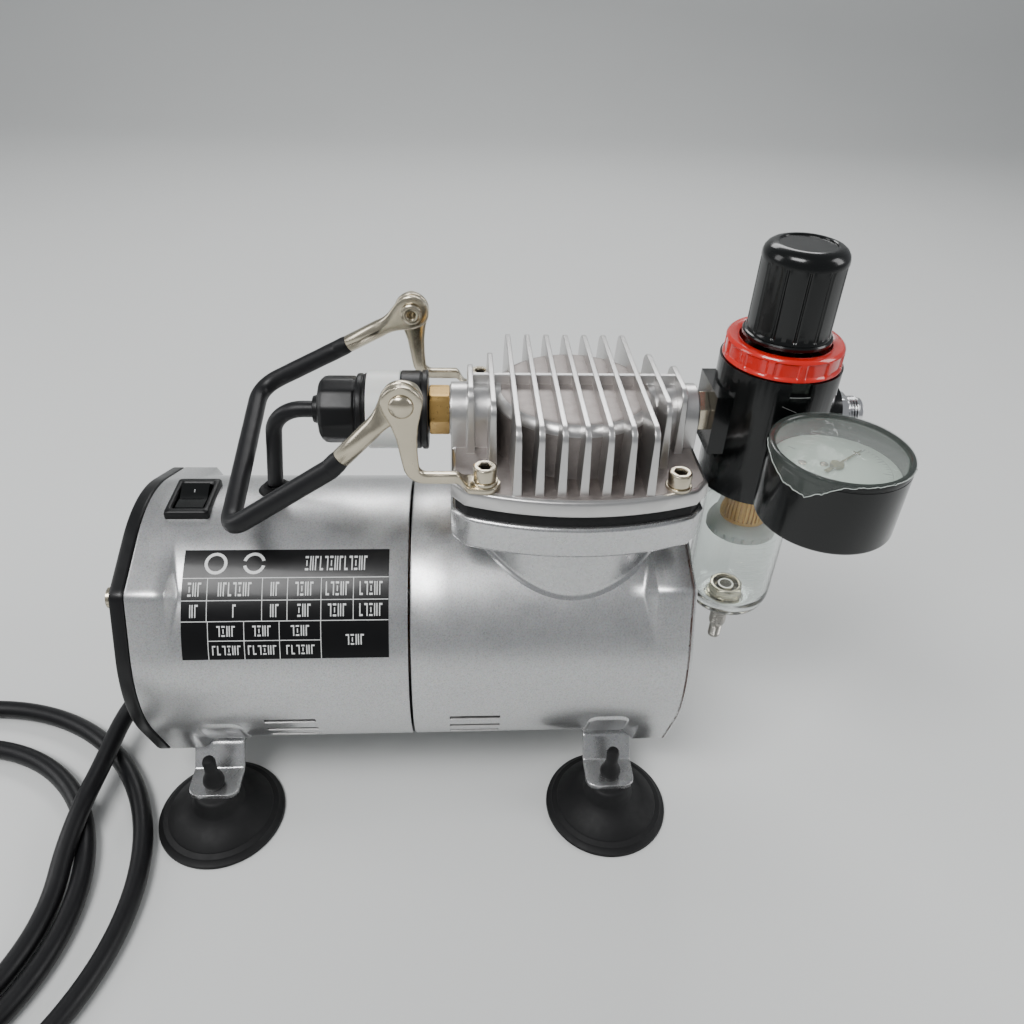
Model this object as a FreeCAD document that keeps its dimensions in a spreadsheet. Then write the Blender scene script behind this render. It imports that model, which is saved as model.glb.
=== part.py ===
"""Airbrush compressor: an oil-less piston pump on an induction motor, with filter regulator and gauge.

Millimetres, +Z up. The motor axis runs along X. x is measured from the casing seam in the code below
and every point passes through at(), which moves the seam so that the origin lies on the supporting
surface under the middle of the object.
"""
import FreeCAD, Part
import math
import os
from types import SimpleNamespace

V = FreeCAD.Vector
X, Y, Z = V(1, 0, 0), V(0, 1, 0), V(0, 0, 1)

DIMENSIONS = {
    # motor casing
    "seam_from_origin": -27.55,
    "axis_height": 63.0,
    "casing_radius": 49.0,
    "casing_wall": 2.5,
    "lobe_apex": 53.5,
    "seam_gap": 0.4,
    "left_end": -90.0,
    "left_lobe_end": -77.8,
    "left_lobe_point": -74.2,
    "right_end": 93.6,
    "right_lobe_end": 82.7,
    "right_lobe_point": 78.3,
    "left_cap_thickness": 4.8,
    "right_cap_thickness": 1.9,
    "cap_gap": 0.2,
    "vent_length": 17.6,
    "vent_height": 2.2,
    # rating plate and switch
    "plate_left": -73.2,
    "plate_length": 66.6,
    "plate_thickness": 0.3,
    "plate_low_angle": 20.5,
    "plate_angle": 42.5,
    "switch_x": -75.2,
    "bezel_width": 15.0,
    "bezel_length": 21.0,
    "bezel_top": 113.8,
    "bezel_seat": 110.6,
    "rocker_radius": 6.7,
    "rocker_width": 9.4,
    "rocker_pivot_height": 111.0,
    # motor inside
    "shaft_radius": 5.0,
    "shaft_left": -88.0,
    "shaft_right": 46.0,
    "rotor_radius": 22.0,
    "rotor_left": -60.0,
    "rotor_length": 48.0,
    "stator_bore": 22.6,
    "stator_left": -58.0,
    "stator_length": 44.0,
    "winding_bore": 27.0,
    "winding_radius": 41.0,
    "winding_length": 9.5,
    "bearing_radius": 13.0,
    "bearing_clearance": 0.04,
    "bearing_width": 8.0,
    "bulkhead_x": 8.0,
    "fan_x": -79.0,
    "fan_radius": 36.0,
    "fan_width": 8.0,
    # pump inside
    "pump_x": 54.4,
    "crank_x": 39.0,
    "crank_width": 7.0,
    "crank_radius": 16.0,
    "crank_throw": 6.0,
    "pin_radius": 3.2,
    "pin_length": 4.4,
    "rod_thickness": 7.0,
    "rod_end_radius": 9.0,
    "liner_bore": 18.05,
    "liner_radius": 20.6,
    "liner_bottom": 98.0,
    "piston_top": 127.4,
    "piston_height": 6.4,
    "piston_radius": 17.4,
    "seal_radius": 17.98,
    "seal_height": 2.0,
    # pump castings
    "neck_radius": 35.5,
    "flange_bottom": 116.5,
    "flange_top": 128.5,
    "valve_plate_top": 133.0,
    "head_base_top": 138.5,
    "outline_half": 40.5,
    "outline_side": 29.0,
    "outline_corner": 36.2,
    "outline_corner_side": 34.4,
    "outline_bulge": 41.0,
    "boss_radius": 27.5,
    "boss_top": 156.3,
    "fin_top": 160.0,
    "fin_pitch": 6.8,
    "fin_thickness": 1.7,
    "long_fin": 37.2,
    "middle_fin": 22.0,
    "short_fin": 13.0,
    "port_height": 147.5,
    "port_boss_radius": 9.2,
    "port_thread": 4.8,
    "screw_half_x": 30.0,
    "screw_half_y": 32.0,
    "screw_radius": 2.0,
    "screw_head_radius": 3.6,
    "screw_head_height": 4.6,
    "washer_radius": 4.4,
    "washer_height": 1.0,
    # handle
    "handle_x": 0.5,
    "handle_height": 168.0,
    "lug_radius": 6.0,
    "lug_thickness": 2.6,
    "lug_inner": 30.2,
    "lug_play": 0.35,
    "rivet_radius": 2.5,
    "rivet_head_radius": 3.6,
    "stem_top_half": 5.2,
    "stem_foot_half": 2.8,
    "stem_shift": 1.1,
    "foot_bar_bottom": 141.5,
    "foot_bar_height": 3.4,
    "sleeve_radius": 3.0,
    "handle_tube_radius": 3.2,
    "handle_wire_radius": 2.0,
    "bracket_tab": 2.1,
    # feet
    "foot_x": 73.0,
    "foot_y": 48.4,
    "foot_width": 18.0,
    "foot_sheet": 2.2,
    "foot_top": 18.0,
    "foot_bend": 40.3,
    "foot_tip": 53.2,
    "cup_radius": 23.0,
    # pressure switch
    "cap_left": -28.2,
    "cap_radius": 10.8,
    "cap_length": 12.3,
    "label_left": -12.7,
    "label_length": 10.7,
    "label_radius": 12.7,
    "label_bore": 11.6,
    "sensor_right": 5.2,
    "fitting_left": 6.8,
    "fitting_across": 14.0,
    "cable_radius": 2.7,
    # filter regulator
    "regulator_x": 120.7,
    "regulator_radius": 19.5,
    "regulator_bottom": 122.0,
    "regulator_top": 167.1,
    "ring_radius": 18.9,
    "ring_bore": 14.6,
    "ring_height": 7.2,
    "knob_bottom": 174.9,
    "knob_radius": 13.3,
    "knob_top_radius": 13.0,
    "knob_top": 204.4,
    "bowl_radius": 16.0,
    "bowl_wall": 1.8,
    "bowl_bottom": 65.0,
    "drain_radius": 3.3,
    "drain_bottom": 43.5,
    "drain_clearance": 0.35,
    "outlet_end": 151.8,
    "outlet_radius": 4.86,
    # gauge
    "gauge_x": 126.1,
    "gauge_y": -43.8,
    "gauge_radius": 20.3,
    "gauge_bottom": 136.2,
    "gauge_top": 160.2,
    "gauge_wall": 1.6,
    "dial_height": 153.3,
    # mains lead
    "cord_radius": 3.5,
    "coil_x": -180.0,
    "coil_y": -82.0,
    "coil_bore": 60.0,
    "coil_radius": 88.8,
    "coil_height": 15.0,
}

LEAD_START = [(-109.4, 3.6, 19.8), (-115.7, -8.0, 15.5), (-118.6, -17.5, 13.0)]
LEAD_END = [
    (-265.4, -72.0, 3.6),
    (-267.5, -53.0, 4.4),
    (-269.5, -35.0, 8.5),
    (-270.5, -18.0, 14.0),
    (-270.5, -5.0, 18.2),
]
LEAD_EXIT = (-94.8, 16.0, 26.0)

doc = FreeCAD.newDocument("airbrush_compressor")
sheet = doc.addObject("Spreadsheet::Sheet", "sizes")
for row, (alias, value) in enumerate(DIMENSIONS.items(), start=1):
    sheet.set(f"A{row}", alias)
    sheet.set(f"B{row}", str(value))
    sheet.setAlias(f"B{row}", alias)
doc.recompute()
d = SimpleNamespace(**{alias: float(sheet.get(alias)) for alias in DIMENSIONS})
nodes = []


# ---------------------------------------------------------------- helpers


def at(x, y, z):
    """A point given from the seam, in the part's own frame."""
    return V(x + d.seam_from_origin, y, z)


def placed(point, axis=Z, turn=0.0):
    """A placement at a point, with the object's own +Z along axis, turned about it first."""
    return FreeCAD.Placement(point, FreeCAD.Rotation(Z, axis) * FreeCAD.Rotation(Z, turn))


def bind(item, **expressions):
    """Each property follows the sheet: bare words in an expression are the sheet's aliases."""
    for name, text in expressions.items():
        words = [f"sizes.{w}" if w in DIMENSIONS else w for w in text.split()]
        item.setExpression(name, " ".join(words))
    return item


def cylinder(name, radius, height, point, axis=Z, angle=None, turn=0.0):
    item = doc.addObject("Part::Cylinder", name)
    bind(item, Radius=radius, Height=height)
    if angle:
        bind(item, Angle=angle)
    item.Placement = placed(point, axis, turn)
    return item


def cone(name, low, high, height, point, axis=Z):
    item = doc.addObject("Part::Cone", name)
    bind(item, Radius1=low, Radius2=high, Height=height)
    item.Placement = placed(point, axis)
    return item


def box(name, length, width, height, corner):
    item = doc.addObject("Part::Box", name)
    bind(item, Length=length, Width=width, Height=height)
    item.Placement = FreeCAD.Placement(corner, FreeCAD.Rotation())
    return item


def prism(name, sides, radius, height, point, axis=Z, turn=0.0):
    item = doc.addObject("Part::Prism", name)
    item.Polygon = sides
    bind(item, Circumradius=radius, Height=height)
    item.Placement = placed(point, axis, turn)
    return item


def fuse(name, items):
    if len(items) == 1:
        return items[0]
    item = doc.addObject("Part::MultiFuse", name)
    item.Shapes = items
    return item


def cut(name, base, tools):
    item = doc.addObject("Part::Cut", name)
    item.Base = base
    item.Tool = fuse(name + "_tools", tools)
    return item


def compound(name, items):
    item = doc.addObject("Part::Compound", name)
    item.Links = items
    return item


def solid(name, shape, point=V(0, 0, 0)):
    """A shape worked out in code from the sheet's values."""
    item = doc.addObject("Part::Feature", name)
    item.Shape = shape
    item.Placement = FreeCAD.Placement(point, FreeCAD.Rotation())
    return item


def node(item, label):
    item.Label = label
    nodes.append(item)
    return item


def revolved(name, profile, point, axis=Z):
    """A closed (radius, height) outline turned once about an axis through a point."""
    corners = [V(r, 0, z) for r, z in profile]
    face = Part.Face(Part.makePolygon(corners + corners[:1]))
    item = solid(name, face.revolve(V(0, 0, 0), Z, 360))
    item.Placement = placed(point, axis)
    return item


def rounded_path(points, radii=None):
    """Straight runs joined by tangent arcs: the wire, its length and the arcs' radii."""
    edges, used, start = [], [], points[0]
    for i in range(1, len(points) - 1):
        before, here, after = points[i - 1], points[i], points[i + 1]
        back, ahead = (before - here), (after - here)
        shorter = min(back.Length, ahead.Length)
        half_turn = (math.pi - back.getAngle(ahead)) / 2
        radius = radii[i - 1] if radii else 0.45 * shorter / math.tan(half_turn)
        reach = radius * math.tan(half_turn)
        back.normalize()
        ahead.normalize()
        first, last = here + back * reach, here + ahead * reach
        inward = back + ahead
        inward.normalize()
        middle = here + inward * (radius / math.cos(half_turn) - radius)
        edges += [Part.LineSegment(start, first).toShape(), Part.Arc(first, middle, last).toShape()]
        used.append(radius)
        start = last
    edges.append(Part.LineSegment(start, points[-1]).toShape())
    wire = Part.Wire(edges)
    return wire, wire.Length, used


def tube(name, points, radius, radii=None):
    """A round bar along a rounded path."""
    wire, length, used = rounded_path(points, radii)
    along = points[1] - points[0]
    ring = Part.Wire(Part.makeCircle(radius, points[0], along))
    shape = wire.makePipeShell([ring], True, False)
    expected = math.pi * radius**2 * length
    print(f"{name}: {length:.1f} long, arcs {[round(r, 1) for r in used]}, "
          f"volume / expected {shape.Volume / expected:.4f}")
    return solid(name, shape)


def ring_of(count, first=0.0):
    """Evenly spaced angles in degrees."""
    return [first + 360.0 * k / count for k in range(count)]


# ---------------------------------------------------------------- motor casing


def lobe_corners(x, angle):
    """A lobe's two tangent points and its apex, at one station along the axis."""
    spread = math.degrees(math.acos(d.casing_radius / d.lobe_apex))
    found = []
    for turn, reach in ((-spread, d.casing_radius), (0, d.lobe_apex), (spread, d.casing_radius)):
        a = math.radians(angle + turn)
        found.append(at(x, reach * math.cos(a), d.axis_height + reach * math.sin(a)))
    return found


def lobed_disc(x, length):
    """A round disc with four lobes at its corners."""
    body = Part.makeCylinder(d.casing_radius, length, at(x, 0, d.axis_height), X)
    for angle in ring_of(4, 45.0):
        low, apex, high = lobe_corners(x, angle)
        centre = at(x, 0, d.axis_height)
        face = Part.Face(Part.makePolygon([centre, low, apex, high, centre]))
        body = body.fuse(face.extrude(X * length))
    return body.removeSplitter()


def lobe_tip(x, point_x, angle):
    """The pyramid that runs a lobe out onto the round casing."""
    low, apex, high = lobe_corners(x, angle)
    root = (low + high) * 0.5 + (at(x, 0, d.axis_height) - apex) * 0.1
    tip = lobe_corners(point_x, angle)[1]
    middle = at(point_x, 0, d.axis_height)
    tip = middle + (tip - middle) * (d.casing_radius / d.lobe_apex)
    base = [low, apex, high, root]
    faces = [Part.Face(Part.makePolygon(base + base[:1]))]
    for a, b in zip(base, base[1:] + base[:1]):
        faces.append(Part.Face(Part.makePolygon([a, b, tip, a])))
    return Part.makeSolid(Part.makeShell(faces))


def shell(name, start, end, lobe_start, lobe_length, tip_x, tip_point):
    """One half of the casing: a round tube with four lobes at its outer end."""
    outer = Part.makeCylinder(d.casing_radius, end - start, at(start, 0, d.axis_height), X)
    outer = outer.fuse(lobed_disc(lobe_start, lobe_length))
    for angle in ring_of(4, 45.0):
        outer = outer.fuse(lobe_tip(tip_x, tip_point, angle))
    return solid(name, outer.removeSplitter())


def vents(name, x):
    """Three slots low on the front of a shell and three behind."""
    slots = []
    for side in (-1, 1):
        for k, angle in enumerate((14.0, 22.0, 30.0)):
            slot = box(f"{name}_{side + 1}_{k}", "vent_length", "12", "vent_height", V(0, 0, 0))
            lean = FreeCAD.Rotation(X, angle * -side)
            middle = V(0, side * (d.casing_radius - 6), -d.vent_height / 2)
            local = middle - V(0, 0 if side > 0 else 12, 0)
            slot.Placement = FreeCAD.Placement(at(x, 0, d.axis_height) + lean.multVec(local), lean)
            slots.append(slot)
    return slots


axis = d.axis_height
casing_bore = "casing_radius - casing_wall"
left_shell = shell("left_shell", d.left_end, -d.seam_gap, d.left_end, d.left_lobe_end - d.left_end,
                   d.left_lobe_end, d.left_lobe_point)
switch_front = -d.bezel_length / 2
left_tools = [
    cylinder("left_bore", casing_bore, "100", at(d.left_end - 2, 0, axis), X),
    box("bezel_recess", "bezel_width + 0.3", "bezel_length + 0.3", "10",
        at(d.switch_x - d.bezel_width / 2 - 0.15, switch_front - 0.15, d.bezel_seat)),
    box("switch_hole", "13.3", "19.3", "30", at(d.switch_x - 6.65, -9.65, 95)),
    cylinder("grommet_seat", "6.7", "10", at(-48.0, 6.0, 110.8)),
    cylinder("grommet_hole", "4.6", "20", at(-48.0, 6.0, 100)),
] + vents("left_vent", -50.9)
node(cut("casing_left_cut", left_shell, left_tools), "casing_left")

right_shell = shell("right_shell", d.seam_gap, d.right_end, d.right_lobe_end,
                    d.right_end - d.right_lobe_end, d.right_lobe_end, d.right_lobe_point)


def casting_outline(inset=0.0):
    """The pump castings' plan: straight sides, cut corners, and bulging front and back edges."""
    half, side = d.outline_half - inset, d.outline_side - inset * 0.4
    corner, corner_side = d.outline_corner - inset * 0.6, d.outline_corner_side - inset * 0.8
    bulge = d.outline_bulge - inset
    c = V(d.pump_x + d.seam_from_origin, 0, 0)
    edges = []
    for s in (-1, 1):
        a, b = c + V(s * corner, s * corner_side, 0), c + V(-s * corner, s * corner_side, 0)
        e, f = c + V(-s * half, s * side, 0), c + V(-s * half, -s * side, 0)
        g = c + V(-s * corner, -s * corner_side, 0)
        edges.append(Part.Arc(a, c + V(0, s * bulge, 0), b).toShape())
        edges += [Part.makeLine(b, e), Part.makeLine(e, f), Part.makeLine(f, g)]
    return Part.Face(Part.Wire(edges))


def casting_slab(name, bottom, top, inset=0.0):
    return solid(name, casting_outline(inset).extrude(Z * (top - bottom)), V(0, 0, bottom))


def screw_places():
    for sx in (-1, 1):
        for sy in (-1, 1):
            yield d.pump_x + sx * d.screw_half_x, sy * d.screw_half_y


def screw_holes(name, bottom, height):
    return [
        cylinder(f"{name}_{k}", "screw_radius + 0.3", height, at(x, y, bottom))
        for k, (x, y) in enumerate(screw_places())
    ]


neck = cylinder("neck", "neck_radius", "flange_bottom - 80", at(d.pump_x, 0, 80))
flange = casting_slab("flange", d.flange_bottom, d.flange_top)
right_tools = [
    cylinder("right_bore", casing_bore, "100", at(0, 0, axis), X),
    cylinder("cylinder_bore", "liner_radius", "80", at(d.pump_x, 0, 60)),
] + vents("right_vent", 13.2) + screw_holes("flange_hole", d.flange_bottom - 1, "20")
node(cut("casing_right_cut", fuse("right_casting", [right_shell, neck, flange]), right_tools),
     "casing_right")

# end caps, with a bearing hub inside the left one
left_plate = solid("left_plate", lobed_disc(d.left_end - d.cap_gap - d.left_cap_thickness,
                                            d.left_cap_thickness))
hub = cylinder("bearing_hub", "bearing_radius + 4", "10", at(d.left_end - d.cap_gap, 0, axis), X)
hub_bore = cylinder("hub_bore", "bearing_radius", "12", at(d.left_end - d.cap_gap, 0, axis), X)


def cap_screw_places():
    for angle in ring_of(4, 45.0):
        a = math.radians(angle)
        reach = d.lobe_apex - 6.5
        yield reach * math.cos(a), axis + reach * math.sin(a)


left_face = d.left_end - d.cap_gap - d.left_cap_thickness
cap_holes = [
    cylinder(f"cap_hole_{k}", "1.9", "12", at(left_face - 1, y, z), X)
    for k, (y, z) in enumerate(cap_screw_places())
]
node(cut("end_cap_left_cut", fuse("left_cap_whole", [left_plate, hub]), [hub_bore] + cap_holes),
     "end_cap_left")
node(solid("right_plate", lobed_disc(d.right_end + d.cap_gap, d.right_cap_thickness)),
     "end_cap_right")
cap_screws = []
for k, (y, z) in enumerate(cap_screw_places()):
    head = cylinder(f"cap_screw_head_{k}", "3.4", "1.7", at(left_face - 1.7, y, z), X)
    shank = cylinder(f"cap_screw_shank_{k}", "1.85", "left_cap_thickness", at(left_face, y, z), X)
    slot_a = box(f"cap_screw_slot_{k}", "1.2", "4.4", "0.9",
                 at(left_face - 2.0, y - 2.2, z - 0.45))
    slot_b = box(f"cap_screw_cross_{k}", "1.2", "0.9", "4.4",
                 at(left_face - 2.0, y - 0.45, z - 2.2))
    cap_screws.append(cut(f"cap_screw_{k}", fuse(f"cap_screw_blank_{k}", [head, shank]),
                          [slot_a, slot_b]))
node(compound("cap_screw_set", cap_screws), "cap_screws")

# rating plate: a thin sector of foil on the front of the left shell
plate_start = at(d.plate_left, 0, axis)
foil = cylinder("foil", "casing_radius + 0.03 + plate_thickness", "plate_length", plate_start, X,
                "plate_angle", turn=-(90 + d.plate_low_angle + d.plate_angle))
foil_inside = cylinder("foil_inside", "casing_radius + 0.03", "plate_length + 4",
                       plate_start - X * 2, X)
node(cut("rating_plate_cut", foil, [foil_inside]), "rating_plate")

# rocker switch
bezel = box("bezel", "bezel_width", "bezel_length", "bezel_top - bezel_seat",
            at(d.switch_x - d.bezel_width / 2, switch_front, d.bezel_seat))
switch_body = box("switch_body", "13", "19", "10", at(d.switch_x - 6.5, -9.5, d.bezel_seat - 10))
well = box("switch_well", "rocker_width + 0.8", "2 * rocker_radius + 0.8", "20",
           at(d.switch_x - d.rocker_width / 2 - 0.4, -d.rocker_radius - 0.4, 103.4))
node(cut("switch_bezel_cut", fuse("bezel_whole", [bezel, switch_body]), [well]), "switch_bezel")


def rocker_shape():
    """A round-ended rocker with a shallow valley on top, tipped down at its front half."""
    r = d.rocker_radius
    tip_rise, valley = 3.0, 1.5
    reach = math.sqrt(r * r - tip_rise**2)
    ends = [V(0, reach, tip_rise), V(0, -reach, tip_rise)]
    round_part = Part.Arc(ends[1], V(0, 0, -r), ends[0]).toShape()
    lines = [Part.makeLine(ends[0], V(0, 0, valley)), Part.makeLine(V(0, 0, valley), ends[1])]
    face = Part.Face(Part.Wire([round_part] + lines))
    shape = face.extrude(X * d.rocker_width)
    shape.rotate(V(0, 0, 0), X, 10.0)
    return shape


rocker = solid("rocker", rocker_shape(),
               at(d.switch_x - d.rocker_width / 2, 0, d.rocker_pivot_height))
node(rocker, "switch_rocker")

# ---------------------------------------------------------------- motor and pump inside

shaft = cylinder("shaft", "shaft_radius", "shaft_right - shaft_left", at(d.shaft_left, 0, axis), X)
node(shaft, "motor_shaft")
rotor = cylinder("rotor_core", "rotor_radius", "rotor_length", at(d.rotor_left, 0, axis), X)
rotor_bore = cylinder("rotor_bore", "shaft_radius", "rotor_length + 4",
                      at(d.rotor_left - 2, 0, axis), X)
node(cut("rotor_cut", rotor, [rotor_bore]), "rotor")
core = cylinder("core", casing_bore, "stator_length", at(d.stator_left, 0, axis), X)
core_bore = cylinder("core_bore", "stator_bore", "stator_length + 4",
                     at(d.stator_left - 2, 0, axis), X)
node(cut("stator_core_cut", core, [core_bore]), "stator_core")
windings = []
for k, x in enumerate((d.stator_left - 0.2 - d.winding_length,
                       d.stator_left + d.stator_length + 0.2)):
    coil = cylinder(f"winding_{k}", "winding_radius", "winding_length", at(x, 0, axis), X)
    hole = cylinder(f"winding_bore_{k}", "winding_bore", "winding_length + 4",
                    at(x - 2, 0, axis), X)
    windings.append(cut(f"winding_ring_{k}", coil, [hole]))
node(compound("winding_pair", windings), "stator_windings")

bearings = []
for k, x in enumerate((d.left_end + 1.0, d.bulkhead_x)):
    race = cylinder(f"race_{k}", "bearing_radius", "bearing_width", at(x, 0, axis), X)
    hole = cylinder(f"race_bore_{k}", "shaft_radius + bearing_clearance", "bearing_width + 4",
                    at(x - 2, 0, axis), X)
    bearings.append(cut(f"bearing_{k}", race, [hole]))
node(compound("bearing_pair", bearings), "bearings")
wall = cylinder("bulkhead_wall", casing_bore, "bearing_width", at(d.bulkhead_x, 0, axis), X)
wall_hole = cylinder("bulkhead_hole", "bearing_radius", "20", at(d.bulkhead_x - 5, 0, axis), X)
node(cut("bulkhead_cut", wall, [wall_hole]), "bearing_bulkhead")

fan_parts = [cylinder("fan_hub", "9", "fan_width", at(d.fan_x, 0, axis), X),
             cylinder("fan_back", "fan_radius", "1.5", at(d.fan_x, 0, axis), X)]
for k, angle in enumerate(ring_of(8)):
    blade = box(f"fan_blade_{k}", "fan_width", "fan_radius - 8", "1.4", V(0, 0, 0))
    lean = FreeCAD.Rotation(X, angle)
    blade.Placement = FreeCAD.Placement(at(d.fan_x, 0, axis) + lean.multVec(V(0, 8, -0.7)), lean)
    fan_parts.append(blade)
fan_bore = cylinder("fan_bore", "shaft_radius", "20", at(d.fan_x - 5, 0, axis), X)
node(cut("fan_cut", fuse("fan_whole", fan_parts), [fan_bore]), "cooling_fan")

crank = cylinder("crank_web", "crank_radius", "crank_width", at(d.crank_x, 0, axis), X)
pin = cylinder("crank_pin", "pin_radius", "pin_length",
               at(d.crank_x + d.crank_width, 0, axis + d.crank_throw), X)
crank_bore = cylinder("crank_bore", "shaft_radius", "crank_width + 2",
                      at(d.crank_x - 2, 0, axis), X)
node(cut("crank_cut", fuse("crank_whole", [crank, pin]), [crank_bore]), "crank_disc")

big_end_height = axis + d.crank_throw
rod_left = d.pump_x - d.rod_thickness / 2
big_end = cylinder("big_end", "rod_end_radius", "rod_thickness", at(rod_left, 0, big_end_height), X)
big_bore = cylinder("big_bore", "pin_radius + 1.2", "20", at(rod_left - 5, 0, big_end_height), X)
piston_bottom = d.piston_top - d.piston_height
rod = box("rod", "rod_thickness", "9", "44",
          at(rod_left, -4.5, big_end_height + d.rod_end_radius - 1))
crown = cylinder("crown", "piston_radius", "piston_height", at(d.pump_x, 0, piston_bottom))
seal_seat = cylinder("seal_seat", "piston_radius + 2", "seal_height",
                     at(d.pump_x, 0, piston_bottom + 2))
seal_core = cylinder("seal_core", "14", "seal_height", at(d.pump_x, 0, piston_bottom + 2))
seat_ring = cut("seat_ring", seal_seat, [seal_core])
node(cut("piston_cut", fuse("piston_whole", [big_end, rod, crown]), [big_bore, seat_ring]),
     "piston_rod")
seal = cylinder("seal", "seal_radius", "seal_height", at(d.pump_x, 0, piston_bottom + 2))
seal_hole = cylinder("seal_hole", "14", "seal_height + 4", at(d.pump_x, 0, piston_bottom))
node(cut("seal_cut", seal, [seal_hole]), "piston_seal")
liner = cylinder("liner", "liner_radius", "flange_top - liner_bottom",
                 at(d.pump_x, 0, d.liner_bottom))
liner_hole = cylinder("liner_hole", "liner_bore", "60", at(d.pump_x, 0, d.liner_bottom - 10))
node(cut("liner_cut", liner, [liner_hole]), "cylinder_liner")

# ---------------------------------------------------------------- cylinder head

node(cut("valve_plate_cut", casting_slab("valve_slab", d.flange_top, d.valve_plate_top, 1.6),
         screw_holes("valve_hole", d.flange_top - 1, "8")), "valve_plate")


def fin(k):
    """A fin across the head, with its upper corners rounded."""
    reach = {5: d.short_fin, 4: d.middle_fin}.get(abs(k), d.long_fin)
    name = {5: "short_fin", 4: "middle_fin"}.get(abs(k), "long_fin")
    x = d.pump_x + k * d.fin_pitch - d.fin_thickness / 2
    bottom = d.head_base_top - 1
    blank = box(f"fin_blank_{k + 5}", "fin_thickness", f"2 * {name}", "fin_top - head_base_top + 1",
                at(x, -reach, bottom))
    doc.recompute()
    top = [i + 1 for i, e in enumerate(blank.Shape.Edges)
           if abs(e.BoundBox.ZMin - d.fin_top) < 0.01 and e.BoundBox.YLength < 0.01]
    item = doc.addObject("Part::Fillet", f"fin_{k + 5}")
    item.Base = blank
    item.Edges = [(i, 4.0, 4.0) for i in top]
    return item


def port_boss(name, x, length):
    """A round-topped pad on the base, round a port."""
    barrel = cylinder(name, "port_boss_radius", f"{length}", at(x, 0, d.port_height), X)
    foot = box(name + "_foot", f"{length}", "2 * port_boss_radius", "port_height - head_base_top + 1",
               at(x, -d.port_boss_radius, d.head_base_top - 1))
    return [barrel, foot]


head_left = d.pump_x - d.outline_half
head_right = d.pump_x + d.outline_half
head_parts = [casting_slab("head_base", d.valve_plate_top, d.head_base_top)]
boss = cylinder("chamber", "boss_radius", "boss_top - head_base_top + 1",
                at(d.pump_x, 0, d.head_base_top - 1))
doc.recompute()
rim = [i + 1 for i, e in enumerate(boss.Shape.Edges) if abs(e.BoundBox.ZMin - d.boss_top) < 0.01]
round_boss = doc.addObject("Part::Fillet", "round_chamber")
round_boss.Base = boss
round_boss.Edges = [(i, 3.5, 3.5) for i in rim]
head_parts.append(round_boss)
head_parts += [fin(k) for k in range(-5, 6)]
head_parts += port_boss("left_port", head_left + 0.2, 16) + port_boss("right_port",
                                                                       head_right - 16.2, 16)
head_parts.append(box("cross_rib", "10 * fin_pitch", "1.6", "fin_top - head_base_top",
                      at(d.pump_x - 5 * d.fin_pitch, 1.2, d.head_base_top)))
head_tools = screw_holes("head_hole", d.valve_plate_top - 1, "8") + [
    cylinder("left_thread", "port_thread", "9", at(head_left - 1, 0, d.port_height), X),
    cylinder("right_thread", "port_thread", "9", at(head_right - 8, 0, d.port_height), X),
]
node(cut("head_cut", fuse("head_whole", head_parts), head_tools), "cylinder_head")

screws, washers = [], []
for k, (x, y) in enumerate(screw_places()):
    under = d.head_base_top + (d.bracket_tab if x < d.pump_x else 0.0)
    washer = cylinder(f"washer_blank_{k}", "washer_radius", "washer_height", at(x, y, under))
    hole = cylinder(f"washer_hole_{k}", "screw_radius + 0.15", "5", at(x, y, under - 2))
    washers.append(cut(f"washer_{k}", washer, [hole]))
    seat = under + d.washer_height
    head = cylinder(f"screw_head_{k}", "screw_head_radius", "screw_head_height", at(x, y, seat))
    shank = cylinder(f"screw_shank_{k}", "screw_radius", f"{seat - d.flange_bottom - 1.5}",
                     at(x, y, d.flange_bottom + 1.5))
    socket = prism(f"screw_socket_{k}", 6, "1.75", "2.4", at(x, y, seat + d.screw_head_height - 2.2))
    screws.append(cut(f"screw_{k}", fuse(f"screw_blank_{k}", [head, shank]), [socket]))
node(compound("screw_set", screws), "head_screws")
node(compound("washer_set", washers), "head_washers")

# ---------------------------------------------------------------- handle


lug_outer = d.lug_inner + d.lug_thickness + d.lug_play


def bracket_stem(inner):
    """The plate's taper from the eye down to the foot bar."""
    top, low = d.handle_height - 2.0, d.foot_bar_bottom
    corners = [
        at(d.handle_x - d.stem_top_half, inner, top),
        at(d.handle_x + d.stem_top_half, inner, top),
        at(d.handle_x + d.stem_shift + d.stem_foot_half, inner, low),
        at(d.handle_x + d.stem_shift - d.stem_foot_half, inner, low),
    ]
    return Part.Face(Part.makePolygon(corners + corners[:1])).extrude(Y * d.lug_thickness)


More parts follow.
